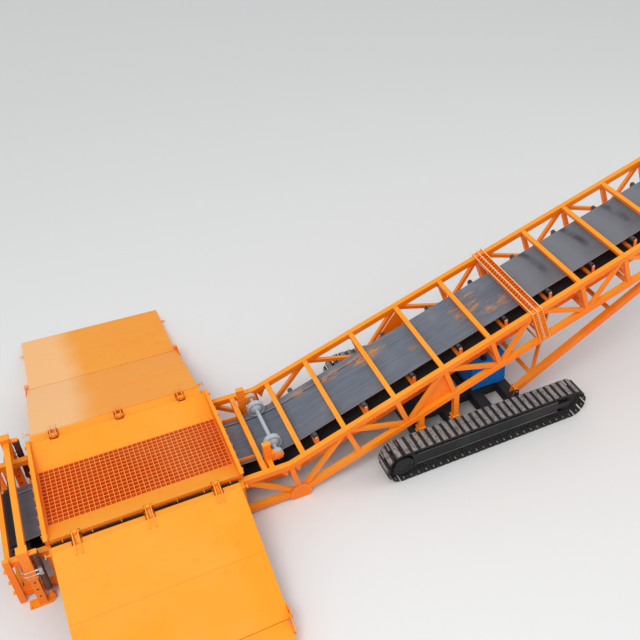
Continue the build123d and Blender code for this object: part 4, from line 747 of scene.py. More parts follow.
def make_splice_bolts():
    bolts = Piece("splice_bolts")
    top = LADDER_TOP - BOLT_INSET
    low = LADDER_LOW + BOLT_INSET
    half_step = (top - low) / (SIDE_RIBS - 1) / 2
    row = (RIB_COUNT - 2) / 2 * RIB_PITCH
    places = [(across, top) for across in spread(-row, row, RIB_COUNT - 1)]
    for height in spread(low + half_step, top - half_step, SIDE_RIBS - 1):
        places += [(side * SPLICE_BOLT_Y, height) for side in SIDES]
    for toward in SIDES:
        for across, height in places:
            bolts.bolt(INCLINE, (SPLICE + toward * END_PLATE, across, height), (toward, 0, 0), 0.015)
    bolts.done("machine", "bare_steel", (BOLT_ZINC,))


def make_splice_lips():
    lips = Piece("splice_lips")
    for along in (SPLICE - LIP_STEP, SPLICE, SPLICE + LIP_STEP):
        start, end = along - LIP_HALF, along + LIP_HALF
        lips.block(INCLINE, (start, -LADDER_OUT, LADDER_TOP), (end, LADDER_OUT, LADDER_TOP + 0.005))
        for side in SIDES:
            low = (start, side * LADDER_OUT, LADDER_LOW + 0.002)
            lips.block(INCLINE, low, (end, side * (LADDER_OUT + 0.005), LADDER_TOP + 0.004))
    lips.done("machine", "orange_steel", (LIP_PAINT,), soft=0.0015)


make_splice_bolts()
make_splice_lips()


# Tracks: shoes with bolted pads on a chain of links, in place of the plain loops

SHOE_PITCH = 0.171
SHOE_COUNT = 59
RUN_SHOES = 24
TRACK_REAR = 2.120
TRACK_RUN = RUN_SHOES * SHOE_PITCH
PITCH_RADIUS = (SHOE_COUNT - 2 * RUN_SHOES) * SHOE_PITCH / (2 * math.pi)
TRACK_Y = CHORD_OUT + 0.300
SHOE_HALF = 0.250
SHOE_FOOT = 0.038
PAD_HIGH = 0.040
TRACK_AXIS = PITCH_RADIUS + SHOE_FOOT + PAD_HIGH
SHOE_OUTLINE = [
    (-0.083, 0.002), (-0.083, 0.009), (-0.070, 0.013), (0.070, 0.013),
    (0.083, 0.009), (0.083, 0.002), (0.070, 0), (-0.070, 0),
]
PAD_OUTLINE = [(-0.054, 0.013), (-0.050, 0.032), (0.050, 0.032), (0.054, 0.013)]
TREAD_OUTLINE = [(-0.050, 0.0322), (-0.045, PAD_HIGH), (0.045, PAD_HIGH), (0.050, 0.0322)]
PAD_HALF = SHOE_HALF - 0.010
TREAD_HALF = SHOE_HALF - 0.014
LINK_Y = 0.062
LINK_HALF = 0.014
PIN_RADIUS = 0.024
SHOE_BOLTS = (-0.205, -0.172, 0.172, 0.205)


def loop_frame(distance, across):
    """Frame on the track's pin line at a distance round it: x along, z outward."""
    turn = math.pi * PITCH_RADIUS
    front = TRACK_REAR + TRACK_RUN
    if distance < TRACK_RUN:
        angle = 0.0
        place = (TRACK_REAR + distance, TRACK_AXIS + PITCH_RADIUS)
    elif distance < TRACK_RUN + turn:
        angle = (distance - TRACK_RUN) / PITCH_RADIUS
        place = (front + PITCH_RADIUS * math.sin(angle), TRACK_AXIS + PITCH_RADIUS * math.cos(angle))
    elif distance < 2 * TRACK_RUN + turn:
        angle = math.pi
        place = (front - distance + TRACK_RUN + turn, TRACK_AXIS - PITCH_RADIUS)
    else:
        angle = math.pi + (distance - 2 * TRACK_RUN - turn) / PITCH_RADIUS
        place = (TRACK_REAR + PITCH_RADIUS * math.sin(angle), TRACK_AXIS + PITCH_RADIUS * math.cos(angle))
    spot = Matrix.Translation((place[0], across, place[1]))
    return FLOOR @ spot @ Matrix.Rotation(angle, 4, "Y")


def make_track(side, word):
    """Shoes with rubber pads and bolts, on two rows of links joined by pins."""
    shoes = Piece(f"track_shoes_{word}")
    lift = Matrix.Translation((0, 0, SHOE_FOOT))
    pin_x = SHOE_PITCH / 2
    for index in range(SHOE_COUNT):
        seat = loop_frame((index + 0.5) * SHOE_PITCH, side * TRACK_Y) @ lift
        # Shoes, pad flanks and links take the near-black shoe steel, which also paints the shade between the
        # pads.
        shoes.prism(seat, SHOE_OUTLINE, -SHOE_HALF, SHOE_HALF, finish=1)
        shoes.prism(seat, PAD_OUTLINE, -PAD_HALF, PAD_HALF, finish=1)
        shoes.prism(seat, TREAD_OUTLINE, -TREAD_HALF, TREAD_HALF)
        for link_y in (-LINK_Y, LINK_Y):
            low = (-0.078, link_y - LINK_HALF, -0.072)
            shoes.block(seat, low, (0.078, link_y + LINK_HALF, -0.001), finish=1)
            pin = (pin_x, link_y * 1.30, -SHOE_FOOT)
            shoes.bar(seat, pin, (pin_x, link_y, -SHOE_FOOT), PIN_RADIUS, 10, finish=1)
        for bolt_y in SHOE_BOLTS:
            shoes.bolt(seat, (0.0, bolt_y, 0.0), (0, 0, -1), 0.012, finish=2)
    finishes = (TRACK_PAD, FINISHES["shoe_steel"], RUSTY_BOLT)
    shoes.done("machine", "shoe_steel", finishes, replaces=(f"crawler_track_{word}",))


for side, word in WORDS:
    make_track(side, word)


# Track frames: flanges, bolts, and a cover ring and guard at the rear wheel

FRAME_HALF = 0.150
FRAME_START = TRACK_REAR + 0.330
FRAME_END = TRACK_REAR + TRACK_RUN - 0.330
FLANGE_OUT = 0.014
FLANGES = ((0.150, 0.170), (-0.130, -0.112))
FRAME_BOLTS = 10
FRAME_BOLT_Z = TRACK_AXIS - 0.080
COVER_RINGS = ((0.056, 0.200, 0.150), (0.050, 0.120, 0.030))
COVER_FACE = 0.0455
COVER_BOLTS = 0.176
GUARD_RADIUS = 0.262
GUARD_ANGLE = math.radians(62)


def guard_outline():
    """Round the rear wheel and back along the frame's two edges."""
    outline = []
    for angle in spread(-GUARD_ANGLE, GUARD_ANGLE, 13):
        along = TRACK_REAR + GUARD_RADIUS * math.cos(angle)
        outline.append((along, TRACK_AXIS + GUARD_RADIUS * math.sin(angle)))
    return outline + [(FRAME_START, TRACK_AXIS + 0.170), (FRAME_START, TRACK_AXIS - 0.130)]


def make_track_trim():
    trim = Piece("track_frame_trim")
    for side in SIDES:
        face = side * (TRACK_Y + FRAME_HALF)
        out = face + side * FLANGE_OUT
        for low, high in FLANGES:
            start = (FRAME_START, face, TRACK_AXIS + low)
            trim.block(FLOOR, start, (FRAME_END, out, TRACK_AXIS + high), 1)
        trim.prism(FLOOR, guard_outline(), face, out)
        start = (TRACK_REAR, face + side * COVER_FACE, TRACK_AXIS)
        for reach, outer, inner in COVER_RINGS:
            trim.ring(FLOOR, start, (TRACK_REAR, face + side * reach, TRACK_AXIS), outer, inner)
        cover = (TRACK_REAR, face + side * COVER_RINGS[0][0], TRACK_AXIS)
        trim.bolt_circle(FLOOR, cover, side, COVER_BOLTS, 12, 0.011)
        for along in spread(FRAME_START + 0.200, FRAME_END - 0.200, FRAME_BOLTS):
            trim.bolt(FLOOR, (along, face + side * 0.001, FRAME_BOLT_Z), (0, side, 0), 0.012)
    trim.done("machine", "black_steel", (FINISHES["black_steel"], EDGE_BLACK))


make_track_trim()


# Ramps: an apron strip at the hinge, weld seams, locking handles and the pins of the outer panels

RAMP_START = HOPPER_START + 0.009
RAMP_END = HOPPER_END - 0.053
INNER_DECK = ((1.526, 1.181), (3.962, 0.377))
OUTER_DECK = ((3.974, 0.377), (6.275, 0.020))
OUTER_INSET = 0.045
HINGE_SHARES = (0.128, 0.494, 0.86)
HINGES = [HOPPER_START + (HOPPER_END - HOPPER_START) * share for share in HINGE_SHARES]
NOTCH = 0.085
APRON_EDGE = (1.523, 1.1755)
APRON_FALL = 0.13
APRON_THICK = 0.008
WEB_FOOT = 1.060
WEB_HALF = 0.004
HINGE_AXIS = (1.290, 1.235)
HANDLE_AXIS = (1.570, 1.190)
SEAM_Y = (2.760, 5.120)
PIN_Y = 5.660


def slope_z(across, slope):
    """Height at a distance from the middle, on a slope given by its two ends as (y, z)."""
    (start_y, start_z), (end_y, end_z) = slope
    return start_z + (end_z - start_z) * (across - start_y) / (end_y - start_y)


def on_side(side, outline):
    """An outline of (y, z) points, taken to one side of the machine."""
    return [(side * across, height) for across, height in outline]


def between_hinges():
    """Stretches of the ramp's edge that the hinges leave free."""
    edges = [RAMP_START]
    for hinge in HINGES:
        edges += [hinge - NOTCH, hinge + NOTCH]
    edges.append(RAMP_END)
    return list(zip(edges[0::2], edges[1::2]))


def make_apron(side, word, reach):
    """Strip that carries the deck on towards the hopper's edge, on webs, cut round the hinges."""
    apron = Piece(f"ramp_apron_{word}")
    edge_y, edge_z = APRON_EDGE
    tip_y, tip_z = edge_y - reach, edge_z - reach * APRON_FALL
    strip = [(tip_y, tip_z), (edge_y, edge_z), (edge_y, edge_z - APRON_THICK), (tip_y, tip_z - APRON_THICK)]
    web = [(tip_y + 0.018, tip_z - 0.0065), (edge_y - 0.0005, edge_z - 0.009), (edge_y - 0.0005, WEB_FOOT)]
    for start, end in between_hinges():
        apron.prism(FLOOR, on_side(side, strip), start, end, axis=0)
        for along in (start + 0.040, (start + end) / 2, end - 0.040):
            apron.prism(FLOOR, on_side(side, web), along - WEB_HALF, along + WEB_HALF, axis=0)
    apron.done(f"ramp_inner_{word}", "orange_steel", soft=0.001)


def add_seam(piece, side, start, end, across, deck):
    """Low weld bead along a panel."""
    height = slope_z(across, deck) + 0.0005
    piece.bar(FLOOR, (start + 0.010, side * across, height), (end - 0.010, side * across, height), 0.005, 6)


def add_handle(piece, side, along, toward):
    """Locking pin with a cross handle, in an eye at the ramp's corner."""
    across, height = side * HANDLE_AXIS[0], HANDLE_AXIS[1]
    tip = along + toward * 0.092
    eye = along + toward * 0.006
    latch = along + toward * 0.040
    piece.bar(FLOOR, (along, across, height), (tip, across, height), 0.011)
    piece.bar(FLOOR, (tip, across - 0.055, height), (tip, across + 0.055, height), 0.010)
    piece.ring(FLOOR, (eye, across, height), (eye + toward * 0.018, across, height), 0.028, 0.012)
    piece.bar(FLOOR, (latch, across, height - 0.030), (latch, across, height + 0.030), 0.008)


def make_inner_fittings(side, word):
    """Weld seam, locking handles and hinge collars of an inner panel."""
    fittings = Piece(f"ramp_fittings_inner_{word}")
    add_seam(fittings, side, RAMP_START, RAMP_END, SEAM_Y[0], INNER_DECK)
    add_handle(fittings, side, RAMP_START, -1)
    add_handle(fittings, side, RAMP_END, 1)
    across, height = side * HINGE_AXIS[0], HINGE_AXIS[1]
    for hinge in HINGES:
        for collar in (hinge - 0.074, hinge + 0.062):
            fittings.ring(FLOOR, (collar, across, height), (collar + 0.012, across, height), 0.034, 0.0205)
    fittings.done(f"ramp_inner_{word}", "orange_steel", soft=0.001)


def make_outer_fittings(side, word):
    """Weld seam and stop pins of an outer panel."""
    fittings = Piece(f"ramp_fittings_outer_{word}")
    start, end = RAMP_START + OUTER_INSET, RAMP_END - OUTER_INSET
    add_seam(fittings, side, start, end, SEAM_Y[1], OUTER_DECK)
    across, height = side * PIN_Y, slope_z(PIN_Y, OUTER_DECK) - 0.045
    for edge, toward in ((start, -1), (end, 1)):
        fittings.bar(FLOOR, (edge, across, height), (edge + toward * 0.085, across, height), 0.022)
        fittings.ring(FLOOR, (edge, across, height), (edge + toward * 0.010, across, height), 0.036, 0.0225)
    fittings.done(f"ramp_outer_{word}", "orange_steel")


make_apron(1, "far", 0.211)
make_apron(-1, "near", 0.135)
for side, word in WORDS:
    make_inner_fittings(side, word)
    make_outer_fittings(side, word)


# Hopper: rib tips and gussets of the end walls, clips under the plates, filled notches, and dark strips that
# paint the shade in the slots beside the ramps

PLATE_HALF, PLATE_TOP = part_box("hopper_plates")[1].yz
PLATE_SLOPE = ((GRATE_HALF, GRATE_TOP), (PLATE_HALF, PLATE_TOP))
NOTCH_FILL = (PLATE_HALF - 0.099, PLATE_HALF - 0.030)
NOTCH_FILL_HALF = 0.0735
END_WALL_TOP = 1.260
WALL_FACE = 0.0703
WALL_RIBS = 11
WALL_RIB_STEP = 0.2304
WALL_RIB_HALF = 0.006
CORNER_GUSSET = [(1.245, 1.2105), (1.130, 1.250), (1.245, 1.250)]
CLIP = [(1.2575, 1.150), (1.335, 1.150), (1.335, 1.138), (1.2575, 1.040)]
CLIP_COUNT = 7
CLIP_STEP = 0.470
CLIP_CLEAR = 0.130
# Near-black strips that paint the shade in the slots beside the ramps: their span across, top and thickness
SHADE_STRIP_Y = (1.258, 1.430)
SHADE_STRIP_TOP = 1.087
SHADE_STRIP_THICK = 0.006


def add_wall_ends(trim):
    """Tips of the end walls' ribs, and a gusset in each corner."""
    row = (WALL_RIBS - 1) / 2 * WALL_RIB_STEP
    for wall, toward in ((HOPPER_START, -1), (HOPPER_END, 1)):
        face = wall + toward * WALL_FACE
        for across in spread(-row, row, WALL_RIBS):
            low = (face, across - WALL_RIB_HALF, END_WALL_TOP - 0.085)
            trim.block(FLOOR, low, (face + toward * 0.022, across + WALL_RIB_HALF, END_WALL_TOP - 0.002))
        inside = wall - toward * 0.0005
        for side in SIDES:
            trim.prism(FLOOR, on_side(side, CORNER_GUSSET), inside, inside - toward * 0.010, axis=0)


def add_clips(trim):
    """Webs that hold the plates' outer edges, clear of the hinges."""
    for index in range(CLIP_COUNT):
        along = HOPPER_START + 0.200 + CLIP_STEP * index
        if min(abs(along - hinge) for hinge in HINGES) > CLIP_CLEAR:
            for side in SIDES:
                trim.prism(FLOOR, on_side(side, CLIP), along - 0.006, along + 0.006, axis=0)


def add_notch_fills(trim):
    """Plates that close the far notches round the hinges."""
    low, high = NOTCH_FILL
    top = [(across, slope_z(across, PLATE_SLOPE) - 0.001) for across in (low, high)]
    under = [(across, slope_z(across, PLATE_SLOPE) - 0.009) for across in (high, low)]
    for hinge in HINGES:
        trim.prism(FLOOR, top + under, hinge - NOTCH_FILL_HALF, hinge + NOTCH_FILL_HALF, axis=0)


def make_hopper_trim():
    trim = Piece("hopper_trim")
    add_wall_ends(trim)
    add_clips(trim)
    add_notch_fills(trim)
    trim.done("machine", "orange_steel", soft=0.001)


def make_hopper_shade_strips():
    """Near-black strips that paint the shade in the slots between the hopper and the ramps."""
    shade_strips = Piece("hopper_shade_strips")
    inner, outer = SHADE_STRIP_Y
    for side in SIDES:
        for start, end in between_hinges():
            low = (start, side * inner, SHADE_STRIP_TOP - SHADE_STRIP_THICK)
            shade_strips.block(FLOOR, low, (end, side * outer, SHADE_STRIP_TOP))
    shade_strips.done("machine", "belt_rubber", (BLACK_PLASTIC_AND_SHADE,), soft=0.001)


make_hopper_trim()
make_hopper_shade_strips()


# Truss: filled panels over the front legs, gussets at the posts, and the bend plates with their bolts

POST_FACE = 0.0505
CHORD_GAP = 0.0005
PANEL_Y = (1.128, 1.137)
GUSSET_Y = (1.176, 1.184)
GUSSET_SIZE = 0.085
BEND_CUT = 0.012
BEND_BOLTS = 0.185
BEND_PLATE_FACE = CHORD_OUT + 0.0103


def make_gussets():
    """A panel on each side over the front legs, and a small gusset at each post but the splice's."""
    gussets = Piece("truss_gussets")
    low = TRUSS_LOW + CHORD_HALF + CHORD_GAP
    high = -CHORD_HALF - CHORD_GAP
    start, end = NODES[1], NODES[2] - POST_FACE
    panel = [(start + 0.300, low), (end, low), (end, -0.105)]
    panel += [(start + 0.995, -0.150), (start + 0.395, -0.560)]
    for side in SIDES:
        gussets.prism(INCLINE, panel, side * PANEL_Y[0], side * PANEL_Y[1])
        for index, node in enumerate(NODES[:-1]):
            if index == SPLICE_NODE:
                continue
            toward = 1 if index > 0 and index % 2 == 0 else -1
            face = node + toward * POST_FACE
            tip = [(face, high), (face + toward * GUSSET_SIZE, high), (face, high - GUSSET_SIZE)]
            gussets.prism(INCLINE, tip, side * GUSSET_Y[0], side * GUSSET_Y[1])
    gussets.done("machine", "orange_steel", soft=0.001)


def make_lower_frames():
    """Lower side frames, with the points of the bend plates cut level above the ground."""
    node = frame["nodes"]["lower_side_frames"]
    mesh = bpy.data.meshes.new("lower_frames_trimmed")
    shape = bmesh.new()
    shape.from_mesh(node.data)
    shape.transform(node.matrix_world)
    everything = shape.verts[:] + shape.edges[:] + shape.faces[:]
    cut, up = (0, 0, BEND_CUT), (0, 0, 1)
    bmesh.ops.bisect_plane(shape, geom=everything, plane_co=cut, plane_no=up, clear_inner=True)
    open_edges = [edge for edge in shape.edges if edge.is_boundary]
    bmesh.ops.holes_fill(shape, edges=open_edges)
    shape.to_mesh(mesh)
    shape.free()
    mesh.materials.append(FINISHES["orange_steel"])
    made = bpy.data.objects.new("lower_frames_trimmed", mesh)
    bpy.context.scene.collection.objects.link(made)
    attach(made, "machine")
    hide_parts("lower_side_frames")


def make_bend_bolts():
    """A circle of bolts on each bend plate, as far down as the cut."""
    bolts = Piece("bend_bolts")
    centre = -TRUSS_LOW * math.tan(TILT / 2)
    for side in SIDES:
        for index in range(12):
            angle = 2 * math.pi * index / 12
            height = TRUSS_LOW + BEND_BOLTS * math.sin(angle)
            if height + CHORD_HEIGHT > BEND_CUT + 0.030:
                place = (centre + BEND_BOLTS * math.cos(angle), side * BEND_PLATE_FACE, height)
                bolts.bolt(LEVEL, place, (0, side, 0), 0.012)
    bolts.done("machine", "bare_steel", (BOLT_PAINTED,))


make_gussets()
make_lower_frames()
make_bend_bolts()


# Hold-down wheels: bearing rings, bolted caps, and bands and a lid on each post

PRESS_X = -0.130
PRESS_POST = (-0.325, 0.860)
PRESS_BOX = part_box("hold_down_wheels")
PRESS_Z = (PRESS_BOX[0].z + PRESS_BOX[1].z) / 2
PRESS_CAP = [(0, 0), (0, 0.070), (0.008, 0.070), (0.0135, 0.060), (0.0135, 0)]
POST_BANDS = (1.085, 1.205)
POST_BAND_HALF = (0.0745, 0.0545)
POST_LID = (1.3455, 1.353)


def press_place(side, across):
    """Place on the wheels' axis."""
    return PRESS_X, side * across, PRESS_Z


def make_press_bearings():
    rings = Piece("press_bearings")
    for side in SIDES:
        rings.ring(FLOOR, press_place(side, 0.818), press_place(side, 0.926), 0.106, 0.0958)
        rings.ring(FLOOR, press_place(side, 0.9305), press_place(side, 0.951), 0.088, 0.046, finish=1)
        rings.turned(FLOOR, press_place(side, 0.9525), press_place(side, 0.966), PRESS_CAP, 28, 1)
        rings.bolt_circle(FLOOR, press_place(side, 0.951), side, 0.078, 6, 0.010, first=0.4)
    rings.done("machine", "grey_steel", (FINISHES["grey_steel"], FINISHES["orange_steel"]))


def make_press_steps():
    steps = Piece("press_steps")
    along, across = PRESS_POST
    for side in SIDES:
        middle = side * across
        for height in POST_BANDS:
            steps.band(FLOOR, (along, middle), POST_BAND_HALF, 0.004, height, height + 0.022)
        low = (along - 0.078, middle - 0.0565, POST_LID[0])
        steps.block(FLOOR, low, (along + 0.078, middle + 0.0565, POST_LID[1]))
    steps.done("machine", "orange_steel", soft=0.001)


make_press_bearings()
make_press_steps()


# Rear jacks: pin holes and foot bolts of the legs, sleeve bands, cylinder glands, fittings and hard pipes

JACK_X = -4.555
JACK_Y = 1.430
CYLINDER_X = -4.400
JACK_TOP = 1.385
SLEEVE_LOW = 0.700
SLEEVE_BAND_HALF = (0.0842, 0.0842)
SLEEVE_BAND = 0.045
LEG_FACE = 0.0642
LEG_HOLES = (0.602, 0.418, 0.234)
HOLE_FLOOR = [(0, 0), (0, 0.019), (0.001, 0.018), (0.001, 0)]
FOOT_BOLTS = ((0.100, 0.055), (0.100, -0.055), (-0.185, 0.060), (-0.185, -0.060))
GLANDS = ((0.299, 0.350), (1.180, 1.240))
UNIONS = (0.800, 0.900)
UNION_HALF = 0.030


def make_leg_marks(side, word):
    """Rimmed pin holes down the leg, and the bolts of its foot."""
    leg = Piece(f"jack_leg_marks_{word}")
    for height in LEG_HOLES:
        for toward in SIDES:
            face = side * JACK_Y + toward * LEG_FACE
            start = (JACK_X, face, height)
            leg.ring(FLOOR, start, (JACK_X, face + toward * 0.002, height), 0.026, 0.019, 20)
            # A near-black disc in each hole paints the shade inside it.
            leg.turned(FLOOR, start, (JACK_X, face + toward, height), HOLE_FLOOR, 20, 1)
    for along, across in FOOT_BOLTS:
        leg.bolt(FLOOR, (JACK_X + along, side * JACK_Y + across, 0.0252), (0, 0, 1), 0.014)
    leg.done(f"jack_leg_{word}", "orange_steel", (FINISHES["orange_steel"], BLACK_PLASTIC_AND_SHADE))


def make_sleeve_bands(side, word):
    """Bands at the sleeve's two ends, and its lid."""
    sleeve = Piece(f"jack_sleeve_bands_{word}")
    middle = side * JACK_Y
    for low in (SLEEVE_LOW, JACK_TOP - SLEEVE_BAND):
        sleeve.band(FLOOR, (JACK_X, middle), SLEEVE_BAND_HALF, 0.009, low, low + SLEEVE_BAND)
    lid = (JACK_X - 0.080, middle - 0.080, JACK_TOP + 0.0005)
    sleeve.block(FLOOR, lid, (JACK_X + 0.080, middle + 0.080, JACK_TOP + 0.012))
    sleeve.done("machine", "orange_steel", soft=0.0015)


def make_jack_fittings(side, word):
    """Glands of the cylinder, and two joined union blocks with the pipes that run on to the truss."""
    fittings = Piece(f"jack_fittings_{word}")
    centre = side * JACK_Y
    for low, high in GLANDS:
        fittings.ring(FLOOR, (CYLINDER_X, centre, low), (CYLINDER_X, centre, high), 0.064, 0.0553, finish=1)
    face = centre + side * 0.052
    axis = face + side * 0.026
    for height in UNIONS:
        low = (CYLINDER_X - UNION_HALF, face, height - UNION_HALF)
        fittings.block(FLOOR, low, (CYLINDER_X + UNION_HALF, face + side * 0.045, height + UNION_HALF))
        fittings.bar(FLOOR, (CYLINDER_X - 0.030, axis, height), (CYLINDER_X - 0.075, axis, height), 0.017)
        raised = height + 0.015
        route = [
            (CYLINDER_X - 0.060, axis, height),
            (JACK_X - 0.105, face + side * 0.045, raised),
            (JACK_X - 0.125, face - side * 0.080, raised),
            (JACK_X - 0.125, side * (CHORD_OUT + 0.004), raised),
        ]
        fittings.pipe(FLOOR, route, 0.009)
    low = (CYLINDER_X - 0.022, face, 0.828)
    fittings.block(FLOOR, low, (CYLINDER_X + 0.022, face + side * 0.050, 0.872))
    fittings.done("machine", "bare_steel", (FINISHES["bare_steel"], FINISHES["maroon_steel"]), soft=0.0015)


for side, word in WORDS:
    make_leg_marks(side, word)
    make_sleeve_bands(side, word)
    make_jack_fittings(side, word)


# Power pack: seams of its doors, louvres, hinges and handles, and vents on the roof

WORLD = Matrix.Identity(4)
PACK_LOW, PACK_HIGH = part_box("power_pack")
PACK_MIDDLE = (PACK_LOW.x + PACK_HIGH.x) / 2
PACK_CORNER = 0.070
SKID_TOP = 0.690
SEAM_RADIUS = 0.0035
LOUVRES = 9
LOUVRE_PITCH = 0.030
LOUVRE_HALF = 0.110
HANDLE_Z = (1.100, 1.210)
DOOR_HINGES = (0.800, 1.220)
ROOF_Y = (-0.200, 0.520)
ROOF_SLOTS = 7
VENTS = ((PACK_LOW.x + 0.335, -0.480), (PACK_HIGH.x - 0.130, -0.295), (PACK_MIDDLE, 0.300))
VENT_OUTLINE = [
    (0, 0), (0, 0.075), (0.010, 0.075), (0.010, 0.056), (0.055, 0.056),
    (0.055, 0.070), (0.075, 0.070), (0.085, 0.050), (0.085, 0),
]


def rounded_loop(height):
    """Points round the cabinet's outline at a height, back to the first."""
    left, right = PACK_LOW.x + PACK_CORNER, PACK_HIGH.x - PACK_CORNER
    near, far = PACK_LOW.y + PACK_CORNER, PACK_HIGH.y - PACK_CORNER
    points = []
    for x, y, first in ((right, far, 0), (left, far, 90), (left, near, 180), (right, near, 270)):
        for angle in spread(math.radians(first), math.radians(first + 90), 5):
            points.append((x + PACK_CORNER * math.cos(angle), y + PACK_CORNER * math.sin(angle), height))
    return points + points[:1]


def add_doors(pack, side):
    """Seams of the two doors on one side, with their louvres, handles and hinges."""
    face = PACK_HIGH.y * side
    for along in (PACK_LOW.x + 0.075, PACK_MIDDLE, PACK_HIGH.x - 0.075):
        foot = (along, face, SKID_TOP + 0.040)
        pack.bar(WORLD, foot, (along, face, PACK_HIGH.z - 0.060), SEAM_RADIUS, 6, 1)
    for door in SIDES:
        centre = PACK_MIDDLE + door * 0.200
        for index in range(LOUVRES):
            height = SKID_TOP + 0.120 + LOUVRE_PITCH * index
            low = (centre - LOUVRE_HALF, face + side * 0.0005, height)
            pack.block(WORLD, low, (centre + LOUVRE_HALF, face + side * 0.012, height + 0.012))
        along, grip = PACK_MIDDLE + door * 0.035, face + side * 0.028
        low, high = HANDLE_Z
        route = [(along, face, low), (along, grip, low), (along, grip, high), (along, face, high)]
        pack.pipe(WORLD, route, 0.006, finish=1)
        along, axis = PACK_MIDDLE + door * 0.350, face + side * 0.006
        for height in DOOR_HINGES:
            pack.bar(WORLD, (along, axis, height - 0.030), (along, axis, height + 0.030), 0.009, 10)


def add_roof(pack):
    """Raised lid with dark slots, and three round vents."""
    top = PACK_HIGH.z + 0.0005
    for along, across in VENTS:
        pack.turned(WORLD, (along, across, top), (along, across, top + 1), VENT_OUTLINE, 24, 1)
    outline = [(-0.300, 0), (0.300, 0), (0.285, 0.0115), (-0.285, 0.0115)]
    lid = [(PACK_MIDDLE + along, top + height) for along, height in outline]
    pack.prism(WORLD, lid, *ROOF_Y)
    # Near-black bars on the lid paint the shade of its slots.
    for along in spread(PACK_MIDDLE - 0.240, PACK_MIDDLE + 0.240, ROOF_SLOTS):
        pack.block(WORLD, (along - 0.012, -0.120, top + 0.012), (along + 0.012, 0.180, top + 0.0155), 1)


def make_pack_details():
    pack = Piece("power_pack_details")
    for height in (PACK_HIGH.z - 0.055, SKID_TOP + 0.035):
        pack.pipe(WORLD, rounded_loop(height), 0.005, finish=1)
    for side in SIDES:
        add_doors(pack, side)
    add_roof(pack)
    pack.done("machine", "blue_steel", (FINISHES["blue_steel"], BLACK_PLASTIC_AND_SHADE))


make_pack_details()


# Struts: black feet with pins, and pins at the head

STRUT_FOOT = (5.130, 0.710)
STRUT_HEAD = (NODES[8], -0.915)
STRUT_Y = 1.050
STRUT_FACE = 0.0908
FOOT_CHEEK = 0.012
FOOT_OUTLINE = [
    (5.058, 0.6005), (5.202, 0.6005), (5.180, 0.735),
    (5.150, 0.775), (5.110, 0.775), (5.080, 0.735),
]


def make_strut_pins():
    feet = Piece("strut_feet")
    for side in SIDES:
        for cheek in SIDES:
            face = side * STRUT_Y + cheek * STRUT_FACE
            out = face + cheek * FOOT_CHEEK
            feet.prism(FLOOR, FOOT_OUTLINE, face, out)
            along, height = STRUT_FOOT
            feet.bar(FLOOR, (along, out, height), (along, out + cheek * 0.022, height), 0.026, 16, 1)
            along, height = STRUT_HEAD
            feet.bar(INCLINE, (along, face, height), (along, face + cheek * 0.024, height), 0.030, 16, 1)
    feet.done("machine", "black_steel", (FINISHES["black_steel"], FINISHES["bare_steel"]), soft=0.001)


make_strut_pins()


# Head and tail ends: bearing caps, drive fins and bolts, hood ribs and the pulleys' end rings

PULLEY_Z = -BELT_DROP - 0.225
PULLEYS = ((LEVEL, TAIL_PULLEY, 0.8700, "tail_pulley"), (INCLINE, HEAD_PULLEY, 0.8623, "head_pulley"))
PULLEY_END = 0.7203
PULLEY_BOLTS = 0.115
BEARING_BOLTS = (0.085, 0.065)
MOTOR_X = HEAD_PULLEY + 0.030
MOTOR_FINS = 14
FIN_PITCH = 0.020
FAN_COVER = (-1.510, -1.597)
FAN_RINGS = 4
GEARBOX_TOP = PULLEY_Z + 0.1503
HOOD_START = HEAD_PULLEY - 0.190
HOOD_END = HEAD_PULLEY + 0.480
HOOD_TOP = -0.060
HOOD_Y = (0.7725, 0.794)
HOOD_RIBS = ((-0.150, -0.600), (0.250, -0.875), (0.450, -0.875))
RIB_HALF = 0.005


def make_bearing_caps():
    caps = Piece("bearing_caps")
    step_x, step_z = BEARING_BOLTS
    for place_frame, along, bearing, _ in PULLEYS:
        for side in SIDES:
            face = side * bearing
            start, end = (along, face, PULLEY_Z), (along, face + side * 0.014, PULLEY_Z)
            caps.ring(place_frame, start, end, 0.078, 0.047)
            for toward in SIDES:
                for height in (PULLEY_Z - step_z, PULLEY_Z + step_z):
                    caps.bolt(place_frame, (along + toward * step_x, face, height), (0, side, 0), 0.013, 1)
    caps.done("machine", "black_steel", (FINISHES["black_steel"], BOLT_ZINC))


def add_drive_ring(drive, start, end, outer, inner, finish=0):
    """Ring on the motor's axis, between two distances across."""
    drive.ring(INCLINE, (MOTOR_X, start, PULLEY_Z), (MOTOR_X, end, PULLEY_Z), outer, inner, finish=finish)


def make_drive_details():
    """Cooling fins, terminal box and fan cover of the motor, and the bolts on the gearbox."""
    drive = Piece("head_drive_fins")
    for index in range(MOTOR_FINS):
        fin = -1.225 - FIN_PITCH * index
        add_drive_ring(drive, fin, fin - 0.006, 0.143, 0.1302)
    add_drive_ring(drive, *FAN_COVER, 0.147, 0.1302, 1)
    for index in range(FAN_RINGS):
        inner = 0.025 + 0.028 * index
        add_drive_ring(drive, -1.6005, -1.604, inner + 0.010, inner, 1)
    low = (MOTOR_X - 0.055, -1.420, PULLEY_Z + 0.1435)
    drive.block(INCLINE, low, (MOTOR_X + 0.055, -1.300, PULLEY_Z + 0.190))
    for step_x in (-0.140, 0.140):
        for across in (-0.900, -1.000, -1.100):
            drive.bolt(INCLINE, (HEAD_PULLEY + step_x, across, GEARBOX_TOP), (0, 0, 1), 0.014, 2)
    drive.done("machine", "blue_steel", (FINISHES["blue_steel"], BLACK_PLASTIC_AND_SHADE, BOLT_ZINC))


